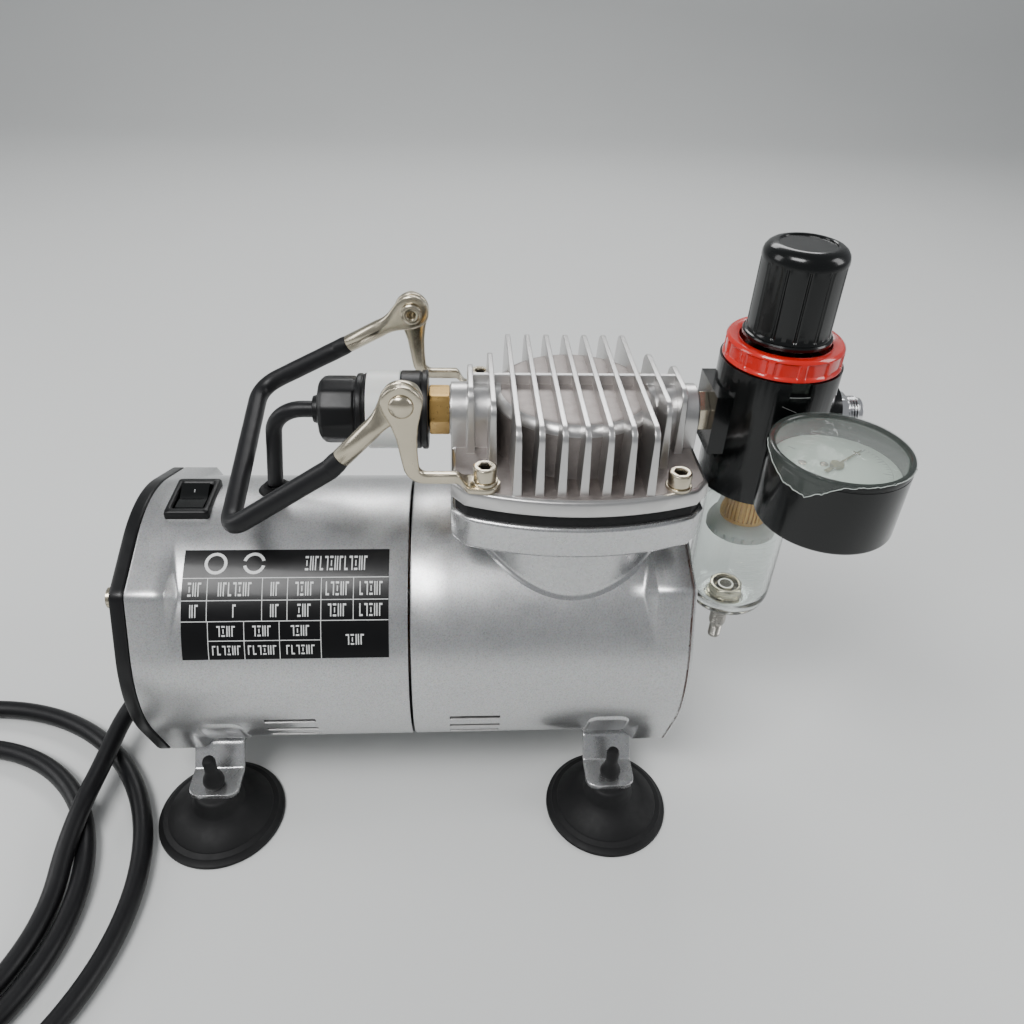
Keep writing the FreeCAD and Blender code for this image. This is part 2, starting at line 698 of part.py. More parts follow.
def handle_bracket(side, label):
    """An eye on a tapered stem that turns in along the head and ends flat under a head screw."""
    inner = lug_outer if side > 0 else -lug_outer - d.lug_thickness
    screw_x, screw_y = d.pump_x - d.screw_half_x, side * d.screw_half_y
    bar_left = d.handle_x + d.stem_shift - d.stem_foot_half
    eye = cylinder(label + "_eye", "lug_radius", "lug_thickness", at(d.handle_x, inner, d.handle_height), Y)
    stem = solid(label + "_stem", bracket_stem(inner))
    bar_width = lug_outer + d.lug_thickness - d.screw_half_y + 1.6
    bar_front = screw_y - 1.6 if side > 0 else screw_y - bar_width + 1.6
    bar = box(label + "_bar", "19.5", f"{bar_width}", "foot_bar_height",
              at(bar_left, bar_front, d.foot_bar_bottom))
    ramp = box(label + "_ramp", "4.5", "6.4", "6.4", at(screw_x - 9.7, screw_y - 3.2, d.head_base_top))
    tab = box(label + "_tab", "9.5", "9.6", "bracket_tab",
              at(screw_x - 9.5, screw_y - 4.8, d.head_base_top))
    end = cylinder(label + "_end", "4.8", "bracket_tab", at(screw_x, screw_y, d.head_base_top))
    bore = cylinder(label + "_bore", "rivet_radius", "20", at(d.handle_x, inner - 8, d.handle_height), Y)
    hole = cylinder(label + "_hole", "screw_radius + 0.3", "12", at(screw_x, screw_y, d.head_base_top - 2))
    return node(cut(label + "_cut", fuse(label + "_whole", [eye, stem, bar, ramp, tab, end]),
                    [bore, hole]), label)


# each arm: where its ferrule starts and ends, and the cross bar's corner
HANDLE_ARMS = {
    -1: ((-7.3, -31.8, 160.3), (-17.9, -33.0, 149.4), (-54.4, -33.0, 123.4)),
    1: ((-10.3, 32.6, 162.0), (-22.2, 34.5, 154.8), (-55.7, 36.0, 136.7)),
}


def wire_start(side):
    """Where the handle's steel wire ends inside its ferrule."""
    start, last, _ = HANDLE_ARMS[side]
    return V(*last) + (V(*start) - V(*last)).normalize() * 8


def arm_path(side):
    """The grip's centre line from its ferrule, first straight on, to the cross bar's corner."""
    start, last, corner = HANDLE_ARMS[side]
    onward = (V(*last) - V(*start)).normalize() * 5
    return [at(*last), at(*last) + onward, at(*corner)]


def handle_sleeve(side, label):
    """A flat eye that narrows into a round ferrule for the handle's wire."""
    inner = d.lug_inner if side > 0 else -d.lug_inner - d.lug_thickness
    start, last, _ = HANDLE_ARMS[side]
    way = V(*last) - V(*start)
    drop = math.degrees(math.atan2(d.handle_height - last[2], d.handle_x - last[0]))
    eye = cylinder(label + "_eye", "lug_radius", "lug_thickness", at(d.handle_x, inner, d.handle_height), Y)
    blade = box(label + "_blade", "11", "lug_thickness", "6.4", V(0, 0, 0))
    lean = FreeCAD.Rotation(Y, -drop)
    corner = at(d.handle_x, inner, d.handle_height) + lean.multVec(V(-13, 0, -3.2))
    blade.Placement = FreeCAD.Placement(corner, lean)
    ferrule = cylinder(label + "_ferrule", "sleeve_radius", f"{way.Length}", at(*start), way)
    bore = cylinder(label + "_bore", "rivet_radius + 0.05", "20",
                    at(d.handle_x, inner - 8, d.handle_height), Y)
    wire = cylinder(label + "_wire_hole", "handle_wire_radius", "12", at(*wire_start(side)), way)
    return node(cut(label + "_cut", fuse(label + "_whole", [eye, blade, ferrule]), [bore, wire]), label)


def rivet(side, label):
    """A domed rivet through bracket and sleeve, with a hollow tail inside."""
    inner = d.lug_inner - d.lug_play
    outer = lug_outer + d.lug_thickness
    tail = 1.3
    out = Y * side
    shank = cylinder(label + "_shank", "rivet_radius", f"{outer - inner + 1.0}",
                     at(d.handle_x, side * (inner - 0.5), d.handle_height), out)
    dome = cone(label + "_dome", "rivet_head_radius", "rivet_head_radius - 1.6", "2.0",
                at(d.handle_x, side * outer, d.handle_height), out)
    back = cylinder(label + "_back", "rivet_head_radius", f"{tail}",
                    at(d.handle_x, side * (inner - tail), d.handle_height), out)
    return fuse(label, [shank, dome, back])


for side, word in ((-1, "front"), (1, "rear")):
    handle_bracket(side, f"handle_bracket_{word}")
    handle_sleeve(side, f"handle_sleeve_{word}")
node(compound("rivet_pair", [rivet(-1, "rivet_front"), rivet(1, "rivet_rear")]), "handle_rivets")
front_half, rear_half = arm_path(-1), arm_path(1)
handle_parts = [tube("grip", front_half + rear_half[::-1], d.handle_tube_radius, [8.0, 6.0, 9.0, 8.0])]
for side in (-1, 1):
    tip, last = wire_start(side), V(*HANDLE_ARMS[side][1])
    way = last - tip
    handle_parts.append(cylinder(f"wire_{side + 1}", "handle_wire_radius", f"{way.Length + 2}", at(*tip), way))
node(fuse("handle_whole", handle_parts), "handle_bar")

# ---------------------------------------------------------------- feet


def foot_bracket(x, side, name, casing):
    """A bent sheet: a flat toe on the cup, a leg, and a flange that hugs the casing."""
    hug = d.casing_radius + 0.05
    deep = hug + d.foot_sheet
    start, end = math.radians(228.0), math.radians(250.0)
    middle = (start + end) / 2
    lower_start = start + 0.02

    def round_casing(radius, angle):
        return V(0, -side * radius * math.cos(angle), axis + radius * math.sin(angle))

    toe = V(0, side * d.foot_tip, d.foot_top)
    bend = V(0, side * d.foot_bend, d.foot_top)
    toe_low = toe - Z * d.foot_sheet
    bend_low = V(0, side * (d.foot_bend + 0.7), d.foot_top - d.foot_sheet)
    edges = [
        Part.makeLine(toe, bend),
        Part.makeLine(bend, round_casing(hug, start)),
        Part.Arc(*(round_casing(hug, a) for a in (start, middle, end))).toShape(),
        Part.makeLine(round_casing(hug, end), round_casing(deep, end)),
        Part.Arc(*(round_casing(deep, a) for a in (end, middle, lower_start))).toShape(),
        Part.makeLine(round_casing(deep, lower_start), bend_low),
        Part.makeLine(bend_low, toe_low),
        Part.makeLine(toe_low, toe),
    ]
    sheet_metal = solid(name + "_sheet", Part.Face(Part.Wire(edges)).extrude(X * d.foot_width),
                        at(x - d.foot_width / 2, 0, 0))
    hole = cylinder(name + "_hole", "3.1", "20", at(x, side * d.foot_y, 5))
    return cut(name, sheet_metal, [hole, casing])


def suction_cup(x, side, name):
    """A rubber cup with a neck through the foot and a long nipple to pull it by."""
    toe = d.foot_top
    sheet_low = toe - d.foot_sheet
    profile = [
        (0, 5.5), (10, 4.6), (17.4, 2.2), (20.8, 0), (22.4, 0), (d.cup_radius, 0.5),
        (d.cup_radius - 0.3, 1.6),
        (20.5, 5.4), (16.6, 9.4), (12.6, 12.2), (11.2, 13.4), (11.0, sheet_low), (3.0, sheet_low),
        (3.0, toe), (3.5, toe + 0.9), (3.8, toe + 2.6), (3.5, toe + 4.4), (2.5, toe + 6.2),
        (2.2, toe + 9.0), (2.3, toe + 13.0), (1.6, toe + 14.6), (0, toe + 15.0),
    ]
    return revolved(name, profile, at(x, side * d.foot_y, 0))


brackets = []
for x, word, casing in ((-d.foot_x, "left", left_shell), (d.foot_x, "right", right_shell)):
    brackets += [foot_bracket(x, side, f"bracket_{word}_{side + 1}", casing) for side in (-1, 1)]
    cups = [suction_cup(x, side, f"cup_{word}_{side + 1}") for side in (-1, 1)]
    node(compound(f"cup_pair_{word}", cups), f"suction_cups_{word}")
node(compound("bracket_set", brackets), "foot_brackets")

foot_screws = []
for k, (x, side) in enumerate((x, s) for x in (-d.foot_x, d.foot_x) for s in (-1, 1)):
    a = math.radians(241.0)
    out = V(0, -side * math.cos(a), math.sin(a))
    seat = at(x, 0, axis) + out * (d.casing_radius + 0.05 + d.foot_sheet)
    foot_screws.append(cylinder(f"foot_screw_{k}", "3.3", "1.7", seat, out))
node(compound("foot_screw_set", foot_screws), "foot_screws")

# ---------------------------------------------------------------- pressure switch

height = d.port_height
cap_prism = prism("cap_prism", 10, "cap_radius", "cap_length", at(d.cap_left, 0, height), X, 18)
cap_ring = cylinder("cap_ring", "cap_radius + 0.9", "3.1", at(d.cap_left + d.cap_length, 0, height), X)
cap_gland = cylinder("cap_gland", "4.6", "2.5", at(d.cap_left - 2.4, 0, height), X)
node(fuse("pressure_cap", [cap_prism, cap_ring, cap_gland]), "pressure_switch_cap")
sleeve = cylinder("label_sleeve", "label_radius", "label_length", at(d.label_left, 0, height), X)
sleeve_bore = cylinder("label_hole", "label_bore", "20", at(d.label_left - 4, 0, height), X)
node(cut("pressure_label_cut", sleeve, [sleeve_bore]), "pressure_switch_label")
sensor = [
    cylinder("sensor_core", "label_bore", "sensor_right - label_left", at(d.label_left, 0, height), X),
    cylinder("sensor_rim", "label_radius", "sensor_right - label_left - label_length",
             at(d.label_left + d.label_length, 0, height), X),
    cylinder("sensor_flange", "label_radius + 0.9", "fitting_left - sensor_right",
             at(d.sensor_right, 0, height), X),
]
node(fuse("pressure_body", sensor), "pressure_switch_body")
hexagon = prism("fitting_hex", 6, "fitting_across / sqrt(3)", f"{head_left - d.fitting_left}",
                at(d.fitting_left, 0, height), X, 0)
thread = cylinder("fitting_thread", "port_thread", "7.5", at(head_left, 0, height), X)
node(fuse("switch_fitting_whole", [hexagon, thread]), "switch_fitting")

grommet = [
    cone("grommet_top", "6.4", "4.4", "3.2", at(-48.0, 6.0, 110.8)),
    cylinder("grommet_neck", "4.5", "1.4", at(-48.0, 6.0, 109.6)),
]
node(fuse("grommet_whole", grommet), "cable_grommet")
cable_points = [at(d.cap_left - 2.4, 0, height), at(-43.5, 0, height), at(-48.0, 6.0, 114.7)]
node(tube("switch_lead", cable_points, d.cable_radius, [11.0]), "switch_cable")

# ---------------------------------------------------------------- filter regulator

rx = d.regulator_x
gauge_way = V(d.gauge_x - rx, d.gauge_y, 0)
gauge_way.normalize()
barrel = cylinder("barrel", "regulator_radius", "regulator_top - regulator_bottom",
                  at(rx, 0, d.regulator_bottom))
inlet_face = 98.8
regulator_parts = [
    barrel,
    box("inlet_boss", "10", "21", "21", at(inlet_face, -10.5, height - 10.5)),
    cylinder("outlet_boss", "9.5", "10", at(rx + 11.5, 0, height), X),
    cylinder("gauge_boss", "8.5", "21.6", at(rx, 0, height), gauge_way),
]
regulator_tools = [
    cylinder("spring_well", "11", "20", at(rx, 0, 156)),
    cylinder("inlet_thread", "port_thread", "8", at(inlet_face - 1, 0, height), X),
    cylinder("outlet_thread", "port_thread", "10", at(rx + 15, 0, height), X),
    cylinder("gauge_thread", "port_thread", "8", at(rx, 0, height) + gauge_way * 15, gauge_way),
    box("latch_recess", "6.5", "2.2", "4.5", at(rx - 2.5, -d.regulator_radius - 0.8, 163)),
]
node(cut("regulator_cut", fuse("regulator_whole", regulator_parts), regulator_tools),
     "regulator_body")
nipple_hex = prism("nipple_hex", 6, "7.2", f"{inlet_face - head_right}", at(head_right, 0, height), X)
nipple_thread = cylinder("nipple_thread", "port_thread", "13", at(head_right - 7, 0, height), X)
node(fuse("nipple_whole", [nipple_hex, nipple_thread]), "inlet_nipple")

ring = cylinder("ring_blank", "ring_radius", "ring_height", at(rx, 0, d.regulator_top + 0.1))
ring_hole = cylinder("ring_hole", "ring_bore", "20", at(rx, 0, d.regulator_top - 5))
scallops = []
for k, angle in enumerate(ring_of(12, 15.0)):
    a = math.radians(angle)
    reach = d.ring_radius + 3.2
    scallops.append(cylinder(f"scallop_{k}", "4.4", "20",
                             at(rx + reach * math.cos(a), reach * math.sin(a), d.regulator_top - 5)))
node(cut("ring_cut", ring, [ring_hole] + scallops), "lock_ring")

spindle = [
    cylinder("spindle_rod", "4", "34", at(rx, 0, 160)),
    cylinder("spindle_foot", "9", "3", at(rx, 0, 158)),
]
node(fuse("spindle_whole", spindle), "adjusting_spindle")

knob_body = revolved("knob_outline", [
    (4.35, d.knob_bottom), (14.1, d.knob_bottom), (14.1, d.knob_bottom + 1.6),
    (d.knob_radius, d.knob_bottom + 2.0), (d.knob_top_radius, d.knob_top - 3.4),
    (d.knob_top_radius - 0.9, d.knob_top - 1.1), (d.knob_top_radius - 3.4, d.knob_top),
    (9.6, d.knob_top), (9.6, d.knob_top - 0.7), (0, d.knob_top - 0.7), (0, 194.6), (4.35, 194.6),
], at(rx, 0, 0))
grooves = []
for k, angle in enumerate(ring_of(12)):
    groove = box(f"knob_groove_{k}", "2.0", "0.8", "20", V(0, 0, 0))
    lean = FreeCAD.Rotation(Z, angle)
    spot = at(rx, 0, d.knob_bottom + 3.0) + lean.multVec(V(d.knob_radius - 0.6, -0.4, 0))
    groove.Placement = FreeCAD.Placement(spot, lean)
    grooves.append(groove)
node(cut("knob_cut", knob_body, grooves), "adjusting_knob")

bore = d.bowl_radius - d.bowl_wall
bowl_top = d.regulator_bottom - 0.1
low = d.bowl_bottom
hole = d.drain_radius + d.drain_clearance
bowl = revolved("bowl_outline", [
    (hole, low), (9.0, low), (12.4, low + 1.6), (14.8, low + 4.6), (d.bowl_radius, low + 9.0),
    (d.bowl_radius, bowl_top), (bore, bowl_top), (bore, low + 9.6), (bore - 1.4, low + 5.8),
    (bore - 3.6, low + 3.4), (8.4, low + 2.2), (hole, low + 2.2),
], at(rx, 0, 0))
node(bowl, "filter_bowl")
element = cylinder("element_blank", "8.4", "17", at(rx, 0, d.regulator_bottom - 17.1))
node(element, "filter_element")
baffle = revolved("baffle_outline", [
    (0, 95.0), (3.2, 95.0), (5.0, 97.6), (11.6, 99.4), (12.6, 101.4), (12.6, 103.6), (9.8, 104.8),
    (0, 104.8),
], at(rx, 0, 0))
node(baffle, "filter_baffle")
nut = prism("nut_blank", 8, "6.8", "4.6", at(rx, 0, low + 2.3))
nut_hole = cylinder("nut_hole", "drain_radius + drain_clearance", "20", at(rx, 0, low - 3))
node(cut("nut_cut", nut, [nut_hole]), "bowl_nut")
drain = revolved("drain_outline", [
    (0, d.drain_bottom), (2.2, d.drain_bottom), (2.6, d.drain_bottom + 0.6), (2.6, 50.0),
    (d.drain_radius, 50.6), (d.drain_radius, low + 6.4), (0, low + 6.4),
], at(rx, 0, 0))
node(drain, "drain_valve")

outlet_left = rx + 21.5
outlet = [
    prism("outlet_hex", 6, "6.9", "4.2", at(outlet_left, 0, height), X),
    cylinder("outlet_neck", "port_thread", "6", at(outlet_left - 6, 0, height), X),
    cylinder("outlet_thread_out", "outlet_radius", f"{d.outlet_end - outlet_left - 4.0}",
             at(outlet_left + 4.0, 0, height), X),
]
outlet_hole = cylinder("outlet_way", "2.4", "30", at(outlet_left - 5, 0, height), X)
node(cut("outlet_cut", fuse("outlet_whole", outlet), [outlet_hole]), "air_outlet")

# ---------------------------------------------------------------- gauge

gx, gy = d.gauge_x, d.gauge_y
case = cylinder("case_blank", "gauge_radius", "gauge_top - gauge_bottom", at(gx, gy, d.gauge_bottom))
case_well = cylinder("case_well", "gauge_radius - gauge_wall", "40", at(gx, gy, d.gauge_bottom + 1.5))
stem_hole = cylinder("stem_hole", "4.2", "6", at(gx, gy, height) - gauge_way * (d.gauge_radius + 2),
                     gauge_way)
node(cut("case_cut", case, [case_well, stem_hole]), "gauge_case")
dial = cylinder("dial_blank", "gauge_radius - gauge_wall - 0.1", "0.8",
                at(gx, gy, d.dial_height - 0.8))
dial_hole = cylinder("dial_hole", "1.2", "6", at(gx, gy, d.dial_height - 3))
node(cut("dial_cut", dial, [dial_hole]), "gauge_dial")
zero_angle = 37.0
way = FreeCAD.Rotation(Z, zero_angle)
needle_height = d.dial_height + 0.5
pointer = solid("pointer", Part.Face(Part.makePolygon([
    V(-5.5, -0.8, 0), V(14.5, -0.25, 0), V(14.5, 0.25, 0), V(-5.5, 0.8, 0), V(-5.5, -0.8, 0)
])).extrude(Z * 0.4))
pointer.Placement = FreeCAD.Placement(at(gx, gy, needle_height), way)
needle_hub = cylinder("needle_hub", "2.2", "0.9", at(gx, gy, needle_height))
needle_pin = cylinder("needle_pin", "1.1", "2.4", at(gx, gy, needle_height - 2.2))
node(fuse("needle_whole", [pointer, needle_hub, needle_pin]), "gauge_needle")
lens = cylinder("lens_blank", "gauge_radius - gauge_wall - 0.1", "1.2",
                at(gx, gy, d.gauge_top - 2.0))
node(lens, "gauge_lens")
span = math.hypot(gx - rx, gy)
stem_start = 15.0
stem = cylinder("stem_rod", "port_thread - 0.6", f"{span - stem_start - d.gauge_radius + 3.0}",
                at(rx, 0, height) + gauge_way * stem_start, gauge_way)
node(stem, "gauge_stem")

# ---------------------------------------------------------------- mains lead

boot_way = V(*LEAD_START[0]) - V(*LEAD_EXIT)
exit_point = at(*LEAD_EXIT)
boot_cone = cone("boot_cone", "5.6", "4.0", f"{boot_way.Length}", exit_point, boot_way)
boot_root = cylinder("boot_root", "6.4", "3.4", at(LEAD_EXIT[0] - 0.2, *LEAD_EXIT[1:]), X * -1)
cap_side = box("cap_side", "60", "60", "60", at(left_face, LEAD_EXIT[1] - 30, LEAD_EXIT[2] - 30))
node(cut("boot_cut", fuse("boot_whole", [boot_cone, boot_root]), [cap_side]), "cord_boot")
node(tube("lead", [at(*p) for p in LEAD_START], d.cord_radius), "mains_cord")
coil_ring = cylinder("coil_ring", "coil_radius", "coil_height", at(d.coil_x, d.coil_y, 0))
coil_hole = cylinder("coil_hole", "coil_bore", "coil_height + 4", at(d.coil_x, d.coil_y, -2))
node(cut("coil_cut", coil_ring, [coil_hole]), "cord_coil")
node(tube("lead_tail", [at(*p) for p in LEAD_END], d.cord_radius), "cord_tail")
px, py, pz = LEAD_END[-1]
plug_axis = at(px, py, 18.4)
plug_parts = [
    cone("plug_boot", "4.6", "7.0", "18", plug_axis, Y),
    cone("plug_neck", "10", "17.6", "12", plug_axis + Y * 17, Y),
    cylinder("plug_body", "17.8", "18", plug_axis + Y * 28.5, Y),
]
for k, side in enumerate((-1, 1)):
    plug_parts.append(cylinder(f"plug_pin_{k}", "2.4", "19", plug_axis + V(side * 9.5, 46, 0), Y))
node(fuse("plug_whole", plug_parts), "mains_plug")

# ---------------------------------------------------------------- check and write

doc.recompute()
for item in doc.Objects:
    if {"Invalid", "Error"} & set(item.State):
        raise RuntimeError(f"{item.Name} is {item.State}")
for item in nodes:
    if item.Shape.isNull() or not item.Shape.isValid():
        raise RuntimeError(f"{item.Label} has no valid shape")
os.makedirs("parts", exist_ok=True)
for item in nodes:
    item.Shape.exportStep(f"parts/{item.Label}.step")
whole = Part.makeCompound([item.Shape for item in nodes if item.Label not in
                           ("cord_boot", "mains_cord", "cord_coil", "cord_tail", "mains_plug")])
limits = whole.BoundBox
print(f"{len(nodes)} nodes, object {limits.XMin:.2f}..{limits.XMax:.2f}, "
      f"{limits.YMin:.2f}..{limits.YMax:.2f}, {limits.ZMin:.2f}..{limits.ZMax:.2f}")
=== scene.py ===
"""Looks of the airbrush compressor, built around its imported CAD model.

Shapes below are drawn in millimetres, with x measured from the casing seam; at() turns such a point
into the frame's metres. Places come from the boxes of the CAD nodes.
"""
import math
import random

import bmesh
import bpy
from mathutils import Matrix, Vector, noise


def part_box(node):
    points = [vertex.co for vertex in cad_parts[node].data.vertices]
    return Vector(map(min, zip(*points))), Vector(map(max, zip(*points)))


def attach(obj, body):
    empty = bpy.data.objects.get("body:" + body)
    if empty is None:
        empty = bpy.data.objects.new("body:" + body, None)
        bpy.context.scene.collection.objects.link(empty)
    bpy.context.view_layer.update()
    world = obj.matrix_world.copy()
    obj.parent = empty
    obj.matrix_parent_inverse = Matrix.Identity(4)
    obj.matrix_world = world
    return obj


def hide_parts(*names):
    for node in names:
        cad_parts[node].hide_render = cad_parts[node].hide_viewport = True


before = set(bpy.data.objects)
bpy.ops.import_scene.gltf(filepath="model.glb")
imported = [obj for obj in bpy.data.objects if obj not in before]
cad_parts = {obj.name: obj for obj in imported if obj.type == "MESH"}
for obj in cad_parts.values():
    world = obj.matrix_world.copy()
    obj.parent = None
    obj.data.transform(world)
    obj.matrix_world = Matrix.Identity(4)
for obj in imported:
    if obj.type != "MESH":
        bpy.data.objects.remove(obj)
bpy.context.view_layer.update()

MM = 0.001
X, Y, Z = Vector((1, 0, 0)), Vector((0, 1, 0)), Vector((0, 0, 1))
TAU = 2 * math.pi
SEAM = (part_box("casing_left")[1].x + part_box("casing_right")[0].x) / 2
random.seed(7)


def at(x, y, z):
    """A point in millimetres from the seam, as metres in the frame."""
    return Vector((SEAM + x * MM, y * MM, z * MM))


def span(node):
    """A node's lowest and highest corner, in millimetres from the seam."""
    low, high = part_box(node)
    shift = Vector((SEAM, 0, 0))
    return (low - shift) / MM, (high - shift) / MM


# ---------------------------------------------------------------- camera and mains lead


def add_camera():
    """The photograph's view: yaw to the right, pitch down, and a small roll."""
    yaw, pitch, roll = math.radians(4.57), math.radians(35.89), math.radians(2.48)
    forward = Vector((math.sin(yaw) * math.cos(pitch), math.cos(yaw) * math.cos(pitch), -math.sin(pitch)))
    level = Vector((math.cos(yaw), -math.sin(yaw), 0))
    upright = level.cross(forward)
    right = level * math.cos(roll) + upright * math.sin(roll)
    up = upright * math.cos(roll) - level * math.sin(roll)
    data = bpy.data.cameras.new("camera")
    data.lens = 29.13
    data.clip_start = 0.01
    camera = bpy.data.objects.new("camera", data)
    bpy.context.scene.collection.objects.link(camera)
    turn = Matrix((right, up, -forward)).transposed().to_4x4()
    camera.matrix_world = Matrix.Translation(at(16.39, -241.02, 280.74)) @ turn
    bpy.context.scene.camera = camera


CORD_RADIUS = 0.0035
LEAD_START = [
    (-0.1094, 0.0036, 0.0198),
    (-0.1157, -0.0080, 0.0155),
    (-0.1186, -0.0175, 0.0130),
]
LEAD_OVER = [
    (-0.1198, -0.0340, 0.0114),
    (-0.1212, -0.0500, 0.0114),
    (-0.1224, -0.0665, 0.0080),
]
LEAD_END = [
    (-0.2654, -0.0720, 0.0036),
    (-0.2675, -0.0530, 0.0044),
    (-0.2695, -0.0350, 0.0085),
    (-0.2705, -0.0180, 0.0140),
    (-0.2705, -0.0050, 0.0182),
]
COIL_CENTRE = (-0.180, -0.082)
# degrees turned clockwise from the join at the right, and the radius there
COIL_RADII = [(0, 0.0585), (90, 0.0600), (270, 0.0645), (350, 0.0660), (540, 0.0772), (630, 0.0848),
              (900, 0.0853)]
COIL_STEP = 15


def coil_radius(turned):
    for (a, low), (b, high) in zip(COIL_RADII, COIL_RADII[1:]):
        if turned <= b:
            return low + (high - low) * (turned - a) / (b - a)
    return COIL_RADII[-1][1]


def cord_route():
    """Over the outer turns into the innermost one, two and a half loose turns outwards, then the plug."""
    route = LEAD_START + LEAD_OVER
    for turned in range(0, COIL_RADII[-1][0] + 1, COIL_STEP):
        a, r = math.radians(-turned), coil_radius(turned)
        lift = 0.0009 * max(0.0, 1 - turned / 30)
        wander = 0.0003 * math.sin(math.radians(turned * 1.7))
        route.append((COIL_CENTRE[0] + (r + wander) * math.cos(a),
                      COIL_CENTRE[1] + (r + wander) * math.sin(a), CORD_RADIUS + 0.0001 + lift))
    return [Vector((SEAM + x, y, z)) for x, y, z in route + LEAD_END]


def add_cord(material):
    data = bpy.data.curves.new("mains_lead", "CURVE")
    data.dimensions = "3D"
    data.bevel_depth = CORD_RADIUS
    data.bevel_resolution = 6
    data.resolution_u = 6
    data.use_fill_caps = True
    line = data.splines.new("NURBS")
    route = cord_route()
    line.points.add(len(route) - 1)
    for point, place in zip(line.points, route):
        point.co = (*place, 1.0)
    line.order_u = 3
    line.use_endpoint_u = True
    line.use_smooth = True
    cord = bpy.data.objects.new("mains_lead", data)
    bpy.context.scene.collection.objects.link(cord)
    data.materials.append(material)
    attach(cord, "frame")
    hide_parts("mains_cord", "cord_coil", "cord_tail")
    return cord


# ---------------------------------------------------------------- materials


def surface(name, color, roughness, metallic=0.0, tint=0.05, patch=60.0, spread=0.08, grain=1800.0,
            bump=0.06, depth=0.00003, brush=None, flake=0.0, edge=0.0, **sockets):
    """A procedural finish: blotches of tint, uneven gloss, and a fine grain or brushing in relief.

    Scales are per metre. edge rounds the normals of sharp corners over that many metres.
    """
    material = bpy.data.materials.new(name)
    material.use_nodes = True
    nodes, links = material.node_tree.nodes, material.node_tree.links
    shader = nodes["Principled BSDF"]
    shader.inputs["Metallic"].default_value = metallic
    for socket, value in sockets.items():
        shader.inputs[socket.replace("_", " ")].default_value = value
    place = nodes.new("ShaderNodeTexCoord").outputs["Object"]

    def noise_at(scale, detail, source=place):
        made = nodes.new("ShaderNodeTexNoise")
        made.inputs["Scale"].default_value = scale
        made.inputs["Detail"].default_value = detail
        links.new(source, made.inputs["Vector"])
        return made.outputs["Fac"]

    mix = nodes.new("ShaderNodeMix")
    mix.data_type = "RGBA"
    mix.inputs["A"].default_value = (*[c * (1 - tint) for c in color], 1)
    mix.inputs["B"].default_value = (*[min(1.0, c * (1 + tint)) for c in color], 1)
    links.new(noise_at(patch, 4), mix.inputs["Factor"])
    tone = mix.outputs["Result"]
    if flake:
        cells = nodes.new("ShaderNodeTexVoronoi")
        cells.inputs["Scale"].default_value = grain * 2
        links.new(place, cells.inputs["Vector"])
        sparkle = nodes.new("ShaderNodeMix")
        sparkle.data_type = "RGBA"
        sparkle.blend_type = "OVERLAY"
        sparkle.inputs["Factor"].default_value = flake
        links.new(tone, sparkle.inputs["A"])
        links.new(cells.outputs["Color"], sparkle.inputs["B"])
        grey = nodes.new("ShaderNodeHueSaturation")
        grey.inputs["Saturation"].default_value = 0.25
        links.new(sparkle.outputs["Result"], grey.inputs["Color"])
        tone = grey.outputs["Color"]
    links.new(tone, shader.inputs["Base Color"])

    fine = place
    if brush:
        stretch = nodes.new("ShaderNodeMapping")
        stretch.inputs["Scale"].default_value = brush
        links.new(place, stretch.inputs["Vector"])
        fine = stretch.outputs["Vector"]
    gloss = nodes.new("ShaderNodeMapRange")
    gloss.inputs["To Min"].default_value = max(0.02, roughness - spread)
    gloss.inputs["To Max"].default_value = min(1.0, roughness + spread)
    links.new(noise_at(patch * 5, 5, fine), gloss.inputs["Value"])
    links.new(gloss.outputs["Result"], shader.inputs["Roughness"])

    relief = nodes.new("ShaderNodeBump")
    relief.inputs["Strength"].default_value = bump * 5
    relief.inputs["Distance"].default_value = depth
    links.new(noise_at(grain, 3, fine), relief.inputs["Height"])
    if edge:
        rounded_edge = nodes.new("ShaderNodeBevel")
        rounded_edge.inputs["Radius"].default_value = edge
        links.new(rounded_edge.outputs["Normal"], relief.inputs["Normal"])
    links.new(relief.outputs["Normal"], shader.inputs["Normal"])
    return material


